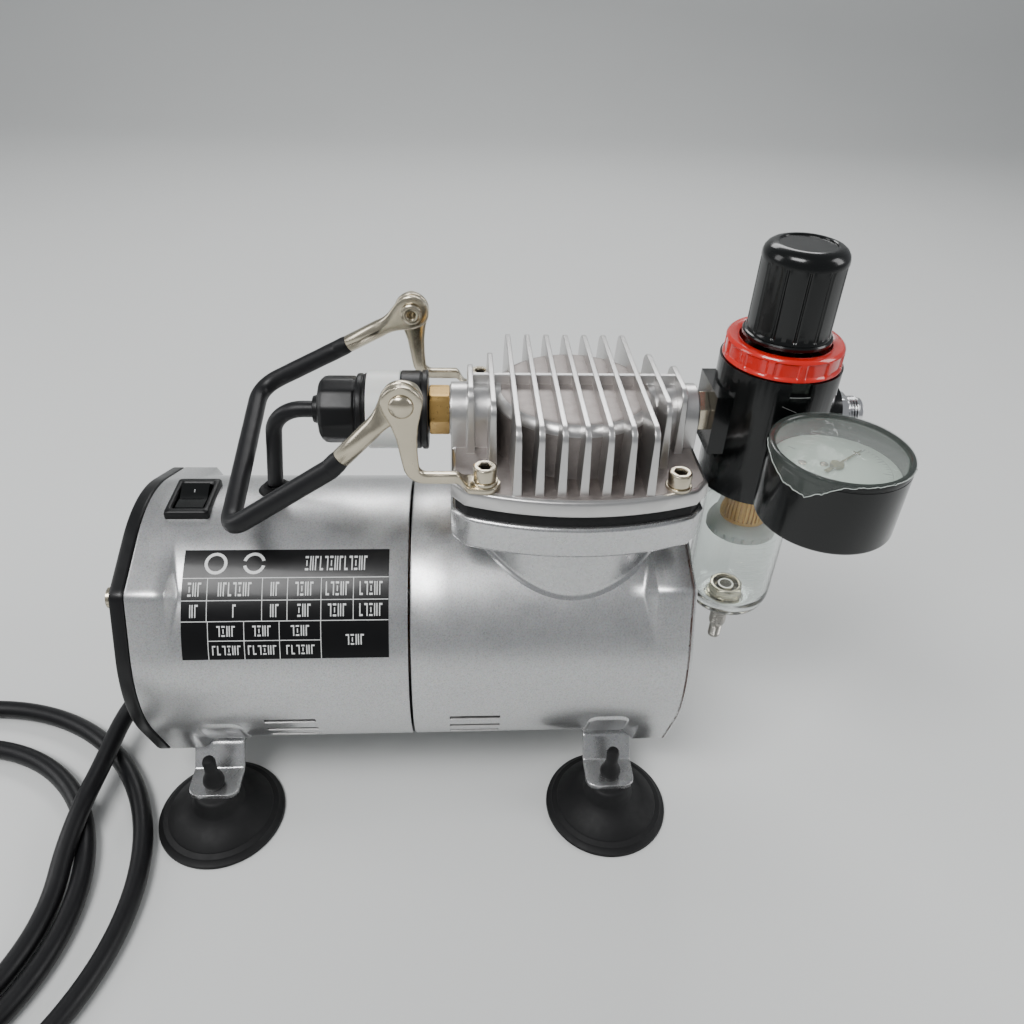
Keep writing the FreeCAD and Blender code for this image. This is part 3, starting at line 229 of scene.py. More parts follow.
def make_materials():
    """Every finish of the object, by the record's slot or by its own name."""
    m = {}
    m["casing_silver"] = surface("silver_paint", (0.52, 0.53, 0.54), 0.34, 0.9, tint=0.04, patch=25,
                                 grain=1500, bump=0.05, flake=0.25, edge=0.0004,
                                 Coat_Weight=0.25, Coat_Roughness=0.12)
    m["smooth_silver"] = surface("smooth_silver_paint", (0.56, 0.57, 0.58), 0.27, 0.92, tint=0.03, patch=40,
                                 grain=900, bump=0.03, flake=0.15, edge=0.0003)
    m["cast_aluminium"] = surface("cast_aluminium", (0.66, 0.65, 0.64), 0.33, 1.0, tint=0.08, patch=180,
                                  spread=0.1, grain=2600, bump=0.12, edge=0.0004)
    m["blasted_aluminium"] = surface("blasted_aluminium", (0.36, 0.325, 0.31), 0.5, 0.9, tint=0.2,
                                     patch=350, grain=2200, bump=0.3, depth=0.00006)
    m["nickel"] = surface("nickel_plate", (0.60, 0.54, 0.42), 0.24, 1.0, tint=0.14, patch=120, grain=700,
                          bump=0.04, depth=0.00005, edge=0.0004)
    m["chrome"] = surface("bright_chrome", (0.82, 0.82, 0.83), 0.1, 1.0, tint=0.03, grain=900, bump=0.02)
    m["machined_steel"] = surface("machined_steel", (0.50, 0.48, 0.44), 0.3, 1.0, tint=0.12, patch=300,
                                  grain=2400, bump=0.08, edge=0.0003)
    m["brass"] = surface("turned_brass", (0.42, 0.27, 0.095), 0.3, 1.0, tint=0.12, patch=200, grain=1800,
                         bump=0.03, depth=0.00001, edge=0.0004)
    # a darker, greener brass for the needle: the green it reflects is painted into its colour
    m["needle_brass_green_reflection"] = surface("needle_brass_green_reflection", (0.15, 0.14, 0.05), 0.35, 0.8, tint=0.1, patch=300,
                                grain=1800,
                                bump=0.03, depth=0.00001)
    m["sintered_bronze"] = surface("filter_brass", (0.70, 0.42, 0.12), 0.42, 0.8, tint=0.12, patch=400,
                                   grain=3200, bump=0.3, depth=0.00008)
    m["black_plastic"] = surface("satin_black_plastic", (0.0035, 0.0035, 0.004), 0.38,
                                 Specular_IOR_Level=0.35, tint=0.25, patch=90,
                                 spread=0.06, grain=2600, bump=0.08, edge=0.0005)
    m["gloss_black"] = surface("gloss_black_plastic", (0.0025, 0.003, 0.003), 0.2,
                               Specular_IOR_Level=0.35, tint=0.2, patch=60,
                               spread=0.05, grain=900, bump=0.015, Coat_Weight=0.2, Coat_Roughness=0.08)
    m["cap_black"] = surface("black_enamel", (0.004, 0.004, 0.0045), 0.34, Specular_IOR_Level=0.4,
                             tint=0.2, patch=50, spread=0.07,
                             grain=1300, bump=0.06, depth=0.00004, edge=0.0005)
    m["black_plate"] = surface("printed_foil", (0.003, 0.003, 0.0035), 0.3, Specular_IOR_Level=0.25,
                               tint=0.15, patch=70, spread=0.05,
                               grain=260, bump=0.03, depth=0.00005, Coat_Weight=0.12, Coat_Roughness=0.1)
    m["print_white"] = surface("white_ink", (0.78, 0.79, 0.78), 0.45, tint=0.06, patch=900, grain=4000,
                               bump=0.05)
    m["print_dark"] = surface("dark_ink", (0.05, 0.06, 0.055), 0.5, tint=0.1, patch=900, grain=4000,
                              bump=0.05)
    # grey for the rocker's printed mark, and for the painted highlights on the knob's rim and the regulator's
    # latch
    m["grey_line"] = surface("grey_print_and_painted_highlight", (0.42, 0.43, 0.42), 0.3, 0.4, tint=0.1, grain=3000)
    m["ring_line"] = surface("moulded_scale", (0.80, 0.84, 0.80), 0.4, tint=0.05, grain=3000, Alpha=0.35)
    m["dial_ink"] = surface("dial_ink", (0.42, 0.47, 0.43), 0.5, tint=0.1, patch=600, grain=3000, Alpha=0.6)
    m["lens"] = surface("lens", (0.92, 0.96, 0.93), 0.05, tint=0.01, grain=300, bump=0.02, Alpha=0.12,
                        Coat_Weight=1.0, Coat_Roughness=0.03)
    m["gasket"] = surface("gasket_paper", (0.085, 0.035, 0.022), 0.6, tint=0.2, grain=2600, bump=0.2)
    # near-black for the insides of the screw sockets and the drain stud's end: painted shade in recesses
    m["socket_dark"] = surface("socket_painted_shade", (0.05, 0.042, 0.03), 0.4, 0.7, tint=0.2, grain=2600)
    # pale strip for the film's curled torn edge: the curl is modelled, its glints are painted into the colour
    m["film_edge"] = surface("torn_film_edge_glint", (0.75, 0.82, 0.77), 0.2, tint=0.1, grain=900, bump=0.2,
                             Alpha=0.6, Coat_Weight=1.0, Coat_Roughness=0.05)
    m["black_rubber"] = surface("black_rubber", (0.005, 0.005, 0.0055), 0.6, Specular_IOR_Level=0.3,
                                tint=0.3, patch=80, spread=0.1,
                                grain=1500, bump=0.15, Sheen_Weight=0.03)
    m["cord_black"] = surface("cord_jacket", (0.005, 0.005, 0.006), 0.42, Specular_IOR_Level=0.35,
                              tint=0.25, patch=70, spread=0.08,
                              grain=1100, bump=0.08, Sheen_Weight=0.02)
    m["red_plastic"] = surface("red_plastic", (0.62, 0.012, 0.006), 0.2, tint=0.1, patch=120, spread=0.05,
                               grain=800, bump=0.03, Coat_Weight=0.6, Coat_Roughness=0.05,
                               Subsurface_Weight=0.15, Subsurface_Scale=0.002)
    m["clear_plastic"] = surface("clear_polycarbonate", (0.90, 0.94, 0.92), 0.04, tint=0.015, patch=60,
                                 spread=0.02, grain=260, bump=0.02, depth=0.00004,
                                 Transmission_Weight=1.0, IOR=1.46)
    m["film"] = surface("clear_film", (0.34, 0.40, 0.36), 0.14, tint=0.2, patch=260, spread=0.08, grain=420,
                        bump=0.12, depth=0.0001, Alpha=0.12, Coat_Weight=1.0, Coat_Roughness=0.05)
    m["white_plastic"] = surface("white_plastic", (0.74, 0.75, 0.72), 0.38, tint=0.04, patch=120,
                                 grain=1600, bump=0.05, Subsurface_Weight=0.1, Subsurface_Scale=0.002)
    m["dial_white"] = surface("dial_face", (0.58, 0.70, 0.60), 0.45, tint=0.05, patch=140, grain=900,
                              bump=0.05)
    m["lamination"] = surface("steel_laminations", (0.30, 0.30, 0.32), 0.4, 1.0, tint=0.15, grain=2000,
                              bump=0.3, brush=(1, 0.02, 0.02), edge=0.0003)
    m["winding_copper"] = surface("enamelled_copper", (0.45, 0.17, 0.07), 0.3, 0.8, tint=0.2, grain=1400,
                                  bump=0.5, depth=0.0002, brush=(0.3, 1, 1))
    return m


# ---------------------------------------------------------------- mesh building


class Shape:
    """Points in millimetres from the seam, and faces, gathered before they become one piece."""

    def __init__(self):
        self.points, self.faces, self.slots = [], [], []

    def add(self, points, faces, slot=0):
        first = len(self.points)
        self.points += [Vector(p) for p in points]
        self.faces += [[first + i for i in face] for face in faces]
        self.slots += [slot] * len(faces)
        return self

    def turned(self, rings, centre, axis=Z, count=64, loop=False, slot=0, start=0.0):
        """Rings of (height, radius) about an axis. A radius may be a function of the angle."""
        turn = Vector(axis).to_track_quat("Z", "Y")
        points = []
        for height, radius in rings:
            for k in range(count):
                a = start + TAU * k / count
                r = radius(a) if callable(radius) else radius
                points.append(Vector(centre) + turn @ Vector((r * math.cos(a), r * math.sin(a), height)))
        faces = []
        for i in range(len(rings) if loop else len(rings) - 1):
            low, high = i * count, (i + 1) % len(rings) * count
            faces += [[low + k, low + (k + 1) % count, high + (k + 1) % count, high + k]
                      for k in range(count)]
        if not loop:
            top = (len(rings) - 1) * count
            faces += [list(range(count))[::-1], list(range(top, top + count))]
        return self.add(points, faces, slot)

    def prism(self, outline, origin, u, v, depth, slot=0, inset=None):
        """An outline in the plane of u and v, extruded by depth along u x v.

        inset, a function of the point, moves each end face's point towards the middle of the thickness.
        """
        origin, u, v = Vector(origin), Vector(u), Vector(v)
        w = u.cross(v).normalized()
        points = []
        for side in (0, 1):
            for p in outline:
                shift = inset(p) if inset else 0.0
                offset = shift if side == 0 else depth - shift
                points.append(origin + u * p[0] + v * p[1] + w * offset)
        n = len(outline)
        faces = [list(range(n))[::-1], list(range(n, 2 * n))]
        faces += [[k, (k + 1) % n, n + (k + 1) % n, n + k] for k in range(n)]
        return self.add(points, faces, slot)

    def swept(self, path, radius, count=28, slot=0):
        """A round bar along dense path points. radius is a number or a function of the fraction."""
        path = [Vector(p) for p in path]
        way = (path[1] - path[0]).normalized()
        side = way.orthogonal().normalized()
        points = []
        for i, p in enumerate(path):
            ahead = (path[min(i + 1, len(path) - 1)] - path[max(i - 1, 0)]).normalized()
            side = way.rotation_difference(ahead) @ side
            way = ahead
            r = radius(i / (len(path) - 1)) if callable(radius) else radius
            for k in range(count):
                a = TAU * k / count
                points.append(p + (side * math.cos(a) + way.cross(side) * math.sin(a)) * r)
        faces = []
        for i in range(len(path) - 1):
            low, high = i * count, (i + 1) * count
            faces += [[low + k, low + (k + 1) % count, high + (k + 1) % count, high + k]
                      for k in range(count)]
        last = (len(path) - 1) * count
        faces += [list(range(count))[::-1], list(range(last, last + count))]
        return self.add(points, faces, slot)

    def loft(self, sections, count=32, slot=0):
        """A skin over sections of (middle, one half axis, the other half axis, squareness).

        Squareness 2 is an ellipse, and more is nearer a rectangle.
        """
        points = []
        for middle, u, v, power in sections:
            for k in range(count):
                c, si = math.cos(TAU * k / count), math.sin(TAU * k / count)
                pu = math.copysign(abs(c) ** (2 / power), c)
                pv = math.copysign(abs(si) ** (2 / power), si)
                points.append(Vector(middle) + Vector(u) * pu + Vector(v) * pv)
        faces = []
        for i in range(len(sections) - 1):
            low, high = i * count, (i + 1) * count
            faces += [[low + k, low + (k + 1) % count, high + (k + 1) % count, high + k]
                      for k in range(count)]
        last = (len(sections) - 1) * count
        faces += [list(range(count))[::-1], list(range(last, last + count))]
        return self.add(points, faces, slot)

    def make(self, name, materials, slot=None, body="frame", bevel=0.0, sharp=35.0, replaces=()):
        """The piece itself, riding on its body. bevel is the width of its rounded edges."""
        mesh = bpy.data.meshes.new(name)
        mesh.from_pydata([at(*p) for p in self.points], [], self.faces)
        materials = materials if isinstance(materials, list) else [materials]
        for material in materials:
            mesh.materials.append(material)
        for face, index in zip(mesh.polygons, self.slots):
            face.material_index = index
        bm = bmesh.new()
        bm.from_mesh(mesh)
        bmesh.ops.remove_doubles(bm, verts=bm.verts, dist=2e-7)
        bmesh.ops.recalc_face_normals(bm, faces=bm.faces)
        for face in bm.faces:
            face.smooth = True
        for edge in bm.edges:
            two = len(edge.link_faces) == 2
            edge.smooth = two and edge.calc_face_angle(0.0) < math.radians(sharp)
        bm.to_mesh(mesh)
        bm.free()
        piece = bpy.data.objects.new(name, mesh)
        bpy.context.scene.collection.objects.link(piece)
        if bevel:
            soften(piece, bevel)
        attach(piece, body)
        if replaces:
            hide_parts(*replaces)
        return piece


def soften(piece, width, weld=False):
    """Rounds a piece's sharp edges."""
    if weld:
        joined = piece.modifiers.new("joined", "WELD")
        joined.merge_threshold = 2e-6
    edges = piece.modifiers.new("edges", "BEVEL")
    edges.width = width * MM
    edges.segments = 3
    edges.limit_method = "ANGLE"
    edges.angle_limit = math.radians(32)
    edges.harden_normals = True
    return piece


def rounded(points, radius, steps=10):
    """A path with each corner turned on an arc."""
    points = [Vector(p) for p in points]
    turns = radius if isinstance(radius, list) else [radius] * (len(points) - 2)
    path = [points[0]]
    for before, here, after, turn in zip(points, points[1:], points[2:], turns):
        back, ahead = (before - here).normalized(), (after - here).normalized()
        half = (math.pi - back.angle(ahead)) / 2
        reach = turn * math.tan(half)
        for k in range(steps + 1):
            t = k / steps
            a, b = here + back * reach, here + ahead * reach
            path.append((a * (1 - t) + here * t) * (1 - t) + (here * (1 - t) + b * t) * t)
    path.append(points[-1])
    return path


def polygon(sides, across, phase=0.0):
    """The radius of a polygon that is across wide between flats, as a function of the angle."""
    part = TAU / sides

    def radius(a):
        return across / 2 / math.cos((a - phase) % part - part / 2)

    return radius


def soft_polygon(sides, across, corner):
    """A polygon with its corners turned down to a circle."""
    flat = polygon(sides, across)
    return lambda a: min(flat(a), corner)


def rounded_box(half_x, half_y, corner):
    """The radius of a rectangle with round corners, as a function of the angle."""

    def radius(a):
        c, s = abs(math.cos(a)), abs(math.sin(a))
        r = min(half_x / max(c, 1e-9), half_y / max(s, 1e-9))
        px, py = half_x - corner, half_y - corner
        if r * c > px and r * s > py:
            dot = px * c + py * s
            r = dot + math.sqrt(max(0.0, dot * dot - px * px - py * py + corner * corner))
        return r

    return radius


def threaded(radius, depth, pitch, start, end, step=0.15):
    """Rings of a screw thread: the radius depends on the angle and the height together."""
    rings = []
    count = int((end - start) / step)
    for i in range(count + 1):
        z = start + (end - start) * i / count
        fade = min(1.0, (z - start) / pitch, (end - z) / pitch)

        def ring(a, z=z, fade=fade):
            phase = (z / pitch - a / TAU) % 1.0
            return radius - depth * (1 - fade * abs(2 * phase - 1))

        rings.append((z, ring))
    return rings


# ---------------------------------------------------------------- motor casing

left_low, left_high = span("casing_left")
right_low, right_high = span("casing_right")
AXIS = sum(v.z for v in span("motor_shaft")) / 2
RADIUS = left_high.z - AXIS
LOBE_REACH = 53.5
SHEET = 2.5
LOBE_ROUND = 1.3


def lobe_radius(degrees, left):
    """The casing's radius at an angle. left is how much of the lobe is still there, from 1 to 0."""
    off = abs((degrees % 90) - 45)
    spread = math.degrees(math.acos(RADIUS / LOBE_REACH)) * left
    if left <= 0 or off >= spread:
        return RADIUS
    apex = RADIUS + (LOBE_REACH - RADIUS) * left
    base_x, base_y = RADIUS * math.cos(math.radians(spread)), RADIUS * math.sin(math.radians(spread))
    a = math.radians(off)
    # the straight flank from the apex to the tangent point, cut by the ray at this angle
    t = apex * math.sin(a) / (apex * math.sin(a) + base_y * math.cos(a) - base_x * math.sin(a))
    x = apex + (base_x - apex) * t
    return max(RADIUS, x / math.cos(a))


def casing_radius(degrees, left):
    """The same, with the crease rounded over."""
    samples = [lobe_radius(degrees + k * LOBE_ROUND / 4, left) for k in range(-4, 5)]
    return sum(samples) / len(samples)


def casing_stations(start, end, lobe_end, lobe_point, marks):
    """x along a shell with how much of the lobe is left there, close together at the lobe."""
    stations = {start, end, lobe_end, lobe_point, *marks}
    steps = 8
    for k in range(1, steps):
        stations.add(lobe_end + (lobe_point - lobe_end) * k / steps)
    outer, seam = (start, end) if abs(start) > abs(end) else (end, start)
    way = 1 if seam > outer else -1
    stations |= {outer + way * 0.25, outer + way * 0.6, seam - way * 0.2, seam - way * 0.5}
    rows = []
    for x in sorted(stations):
        left = min(1.0, max(0.0, (lobe_point - x) / (lobe_point - lobe_end)))
        drop = max(0.0, 0.5 - abs(x - seam)) ** 2 * 1.4 + max(0.0, 0.6 - abs(x - outer)) ** 2 * 1.0
        rows.append((x, left, drop))
    return rows


def casing_shell(name, start, end, lobe_end, lobe_point, openings, node):
    """A shell as a grid of stations and angles with its openings left out, thickened inwards."""
    marks = {x for o in openings for x in o[:2]}
    angles = {k * 1.25 for k in range(288)} | {a for o in openings for a in o[2:]}
    angles = sorted(a % 360 for a in angles)
    rows = casing_stations(start, end, lobe_end, lobe_point, marks)
    shape = Shape()
    points = []
    for x, left, drop in rows:
        for degrees in angles:
            a = math.radians(degrees)
            r = casing_radius(degrees, left) - drop
            points.append((x, r * math.cos(a), AXIS + r * math.sin(a)))
    n, faces = len(angles), []
    for i in range(len(rows) - 1):
        for k in range(n):
            middle_x = (rows[i][0] + rows[i + 1][0]) / 2
            after = angles[(k + 1) % n] + (360 if k == n - 1 else 0)
            middle_a = (angles[k] + after) / 2
            if any(o[0] < middle_x < o[1] and o[2] < middle_a < o[3] for o in openings):
                continue
            faces.append([i * n + k, i * n + (k + 1) % n, (i + 1) * n + (k + 1) % n, (i + 1) * n + k])
    shape.add(points, faces)
    shell = shape.make(name, M["casing_silver"], "casing_silver", sharp=60, replaces=[node])
    wall = shell.modifiers.new("wall", "SOLIDIFY")
    wall.thickness = SHEET * MM
    wall.offset = -1
    wall.use_even_offset = False
    return shell


VENT_ANGLES = (14.0, 22.0, 30.0)
VENT_HALF = 1.29
VENT_LENGTH = 17.6


def vent_openings(x):
    """Three slots low on the front and three behind."""
    found = []
    for angle in VENT_ANGLES:
        for middle in (180 + angle, 360 - angle):
            found.append((x, x + VENT_LENGTH, middle - VENT_HALF, middle + VENT_HALF))
    return found


def add_casing():
    bezel_low, bezel_high = span("switch_bezel")
    hole_x, hole_y = 0.9, 9.7
    half_angle = math.degrees(math.asin(hole_y / RADIUS))
    switch_hole = (bezel_low.x + hole_x, bezel_high.x - hole_x, 90 - half_angle, 90 + half_angle)
    casing_shell("left_shell", left_low.x, left_high.x, -77.8, -74.2,
                 vent_openings(-50.9) + [switch_hole], "casing_left")
    bore = 18.6  # half the opening under the cylinder, wide enough for the piston and its seal
    bore_angle = math.degrees(math.asin(bore / RADIUS))
    bore_hole = (PUMP_X - bore, PUMP_X + bore, 90 - bore_angle, 90 + bore_angle)
    casing_shell("right_shell", right_low.x, right_high.x, 82.7, 78.3,
                 vent_openings(13.2) + [bore_hole], "casing_right")


def on_casing(x, degrees, radius):
    """A point at an angle below the horizontal of the front, or behind for a negative side."""
    a = math.radians(degrees)
    return Vector((x, -radius * math.cos(a), AXIS - radius * math.sin(a)))


def mirrored(points):
    return [Vector((p.x, -p.y, p.z)) for p in points]


def add_vent_lips():
    """The pressed lip under each slot, in the brighter cast finish: its raised shape catches the light, and
    part of its brightness is a painted highlight.
    """
    lips = Shape()
    for x in (-50.9, 13.2):
        for angle in VENT_ANGLES:
            section = ((angle + 0.75, RADIUS - 0.9), (angle + 0.75, RADIUS + 0.1),
                       (angle + 1.05, RADIUS + 0.28),
                       (angle + 1.6, RADIUS + 0.2), (angle + 1.9, RADIUS - 0.1), (angle + 1.6, RADIUS - 0.9))
            for flip in (False, True):
                points = [on_casing(x + along, a, r) for along in (0.15, VENT_LENGTH - 0.15)
                          for a, r in section]
                n = len(section)
                faces = [[k, (k + 1) % n, n + (k + 1) % n, n + k] for k in range(n)]
                faces += [list(range(n))[::-1], list(range(n, 2 * n))]
                lips.add(mirrored(points) if flip else points, faces)
    lips.make("vent_lips", M["cast_aluminium"], "casing_silver", sharp=40)


def add_foot_pads():
    """The shallow pressed pads on the casing above the legs."""
    pads = Shape()
    low, high, half, corner = 38.0, 15.5, 7.6, 4.2
    across, down = 28, 16
    for x in (-66.9, 70.0):
        for flip in (False, True):
            points = []
            for i in range(down + 1):
                for k in range(across + 1):
                    dx = -half + 2 * half * k / across
                    beyond = max(0.0, abs(dx) - (half - corner))
                    arch = high + math.degrees((corner - math.sqrt(corner ** 2 - beyond ** 2)) / RADIUS)
                    a = low + (arch - low) * i / down
                    edge = min(half - abs(dx), math.radians(a - arch) * RADIUS)
                    rise = min(1.0, max(0.0, edge) / 0.9)
                    points.append(on_casing(x + dx, a, RADIUS - 0.05 + 0.65 * math.sin(rise * math.pi / 2)))
            n = across + 1
            faces = [[i * n + k, i * n + k + 1, (i + 1) * n + k + 1, (i + 1) * n + k]
                     for i in range(down) for k in range(across)]
            pads.add(mirrored(points) if flip else points, faces)
    pads.make("foot_pads", M["casing_silver"], "casing_silver", sharp=60)


PUMP_X = sum(v.x for v in span("cylinder_liner")) / 2
NECK_RADIUS = 35.5


def casting_outline(inset=0.0, steps=22):
    """The pump castings' plan about the pump's middle: straight sides, cut corners, bulging ends."""
    half, side, corner, corner_side, bulge = 40.5, 29.0, 36.2, 34.4, 41.0
    half, side = half - inset, side - inset * 0.4
    corner, corner_side, bulge = corner - inset * 0.6, corner_side - inset * 0.8, bulge - inset
    rise = bulge - corner_side
    radius = (corner * corner + rise * rise) / (2 * rise)
    sweep = math.asin(corner / radius)
    arc = []
    for k in range(steps + 1):
        a = -sweep + 2 * sweep * k / steps
        arc.append((radius * math.sin(a), radius * math.cos(a) - radius + bulge))
    front = [(-x, -y) for x, y in arc]
    return arc + [(half, side), (half, -side)] + front + [(-half, -side), (-half, side)]


def slab(shape, layers, slot=0):
    """A casting's slab as a stack of (height, inset) outlines."""
    outlines = [casting_outline(inset) for _, inset in layers]
    n = len(outlines[0])
    points = [(PUMP_X + x, y, z) for (z, _), outline in zip(layers, outlines) for x, y in outline]
    faces = []
    for i in range(len(layers) - 1):
        faces += [[i * n + k, i * n + (k + 1) % n, (i + 1) * n + (k + 1) % n, (i + 1) * n + k]
                  for k in range(n)]
    top = (len(layers) - 1) * n
    faces += [list(range(n)), list(range(top, top + n))[::-1]]
    return shape.add(points, faces, slot)


def add_pump_neck():
    """The neck and flange of the right half, with the fillet where the neck meets the casing."""
    flange_low, flange_top = 116.5, span("valve_plate")[0].z
    shape = Shape()
    slab(shape, [(flange_low, 1.6), (flange_low + 1.2, 0.5), (flange_low + 3.0, 0.2),
                 (flange_top - 0.9, 0.0), (flange_top, 0.7)])
    shape.turned([(84.0, NECK_RADIUS), (flange_low - 1.8, NECK_RADIUS),
                  (flange_low + 0.4, NECK_RADIUS + 1.6)],
                 (PUMP_X, 0, 0), count=128)
    width, steps, count = 2.0, 6, 160
    points = []
    for k in range(count):
        a = TAU * k / count
        out = Vector((math.cos(a), math.sin(a), 0))
        base = Vector((PUMP_X, 0, 0)) + out * NECK_RADIUS
        base.z = AXIS + math.sqrt(RADIUS ** 2 - base.y ** 2)
        normal = Vector((0, base.y, base.z - AXIS)).normalized()
        along = (out - normal * out.dot(normal)).normalized()
        high, low = base + Z * width, base + along * width
        for i in range(steps + 1):
            t = i / steps
            bend = (high * (1 - t) + base * t) * (1 - t) + (base * (1 - t) + low * t) * t
            if i == steps:
                bend -= normal * 0.35
            points.append(bend)
    n = steps + 1
    faces = [[k * n + i, k * n + i + 1, (k + 1) % count * n + i + 1, (k + 1) % count * n + i]
             for k in range(count) for i in range(steps)]
    shape.add(points, faces)
    shape.make("pump_neck", M["smooth_silver"], "casing_silver", bevel=0.5, sharp=40)


# ---------------------------------------------------------------- rating plate

PLATE_LEFT, PLATE_LENGTH = -73.2, 66.6
PLATE_LOW, PLATE_HIGH = 20.5, 63.0
PLATE_RADIUS = RADIUS + 0.33


def plate_patch(shape, u0, u1, v0, v1, height=0.03, slot=0, steps=None):
    """A strip on the plate. u runs right and v down, both from 0 to 1."""
    steps = steps or max(1, int(abs(v1 - v0) * 40))
    points = []
    for i in range(steps + 1):
        v = v0 + (v1 - v0) * i / steps
        a = math.radians(PLATE_HIGH + (PLATE_LOW - PLATE_HIGH) * v)
        r = PLATE_RADIUS + height
        for u in (u0, u1):
            points.append((PLATE_LEFT + PLATE_LENGTH * u, -r * math.cos(a), AXIS + r * math.sin(a)))
    faces = [[2 * i, 2 * i + 1, 2 * i + 3, 2 * i + 2] for i in range(steps)]
    return shape.add(points, faces, slot)


def add_rating_plate():
    """Black foil with a ruled table. Its entries are blank bars, not words."""
    foil = Shape()
    plate_patch(foil, 0, 1, 0, 1, 0.0, steps=36)
    foil = foil.make("plate_foil", M["black_plate"], "black_plate", sharp=60, replaces=["rating_plate"])
    body = foil.modifiers.new("body", "SOLIDIFY")
    body.thickness, body.offset = 0.28 * MM, -1
    ink = Shape()
    line_u, line_v = 0.0032, 0.0065
    rows = (0.265, 0.465, 0.65)
    for v in rows:
        plate_patch(ink, 0, 1, v - line_v / 2, v + line_v / 2)
    upper, lower = (0.122, 0.386, 0.508, 0.671, 0.828), (0.127, 0.30, 0.47, 0.67)
    for u in upper:
        plate_patch(ink, u - line_u / 2, u + line_u / 2, rows[0], rows[2])
    for u in lower:
        plate_patch(ink, u - line_u / 2, u + line_u / 2, rows[2], 1.0)
    plate_patch(ink, lower[0], lower[3], 0.825 - line_v / 2, 0.825 + line_v / 2)

    def entry(u0, u1, v0, v1, height, marks):
        """A row of abstract strokes, a stand-in for print, centred in a cell."""
        middle_u, middle_v = (u0 + u1) / 2, (v0 + v1) / 2
        half = (v1 - v0) * height / 2
        pitch = min(0.024, (u1 - u0) * 0.86 / marks)
        wide = pitch * 0.34
        for k in range(marks):
            u = middle_u + (k - (marks - 1) / 2) * pitch
            kind = (k * 7 + marks * 3) % 5
            if kind in (0, 1, 3):
                plate_patch(ink, u - wide, u - wide * 0.35, middle_v - half, middle_v + half)
            if kind in (1, 2):
                plate_patch(ink, u + wide * 0.35, u + wide, middle_v - half, middle_v + half)
            if kind in (0, 4):
                plate_patch(ink, u - wide, u + wide, middle_v + half * 0.7, middle_v + half)
            if kind in (2, 3, 4):
                plate_patch(ink, u - wide, u + wide, middle_v - half, middle_v - half * 0.7)
            if kind == 4:
                plate_patch(ink, u - wide * 0.3, u + wide * 0.3, middle_v - half * 0.4, middle_v + half * 0.4)

    edges = (0, *upper, 1)
    for (u0, u1), many, few in zip(zip(edges, edges[1:]), (3, 7, 2, 4, 5, 5), (2, 1, 2, 3, 4, 5)):
        entry(u0, u1, rows[0], rows[1], 0.62, many)
        entry(u0, u1, rows[1], rows[2], 0.62, few)
    for u0, u1 in zip(lower, lower[1:]):
        entry(u0, u1, rows[2], 0.825, 0.55, 4)
        entry(u0, u1, 0.825, 1.0, 0.5, 6)
    entry(lower[3], 1.0, rows[2], 1.0, 0.28, 4)
    entry(0.5, 0.98, 0.02, rows[0] - 0.02, 0.6, 13)
    for u in (0.155, 0.34):
        for k in range(24):
            a, b = TAU * k / 24, TAU * (k + 1) / 24
            if u > 0.3 and k % 12 in (0, 11):
                continue
            ring = []
            for angle, r in ((a, 0.055), (b, 0.055), (b, 0.040), (a, 0.040)):
                ring.append((u + r * math.cos(angle), 0.13 + r * 1.85 * math.sin(angle)))
            points = []
            for pu, pv in ring:
                t = math.radians(PLATE_HIGH + (PLATE_LOW - PLATE_HIGH) * pv)
                r = PLATE_RADIUS + 0.03
                points.append((PLATE_LEFT + PLATE_LENGTH * pu, -r * math.cos(t), AXIS + r * math.sin(t)))
            ink.add(points, [[0, 1, 2, 3]])
    ink.make("plate_print", M["print_white"], "black_plate")


# ---------------------------------------------------------------- switch and small parts on the casing


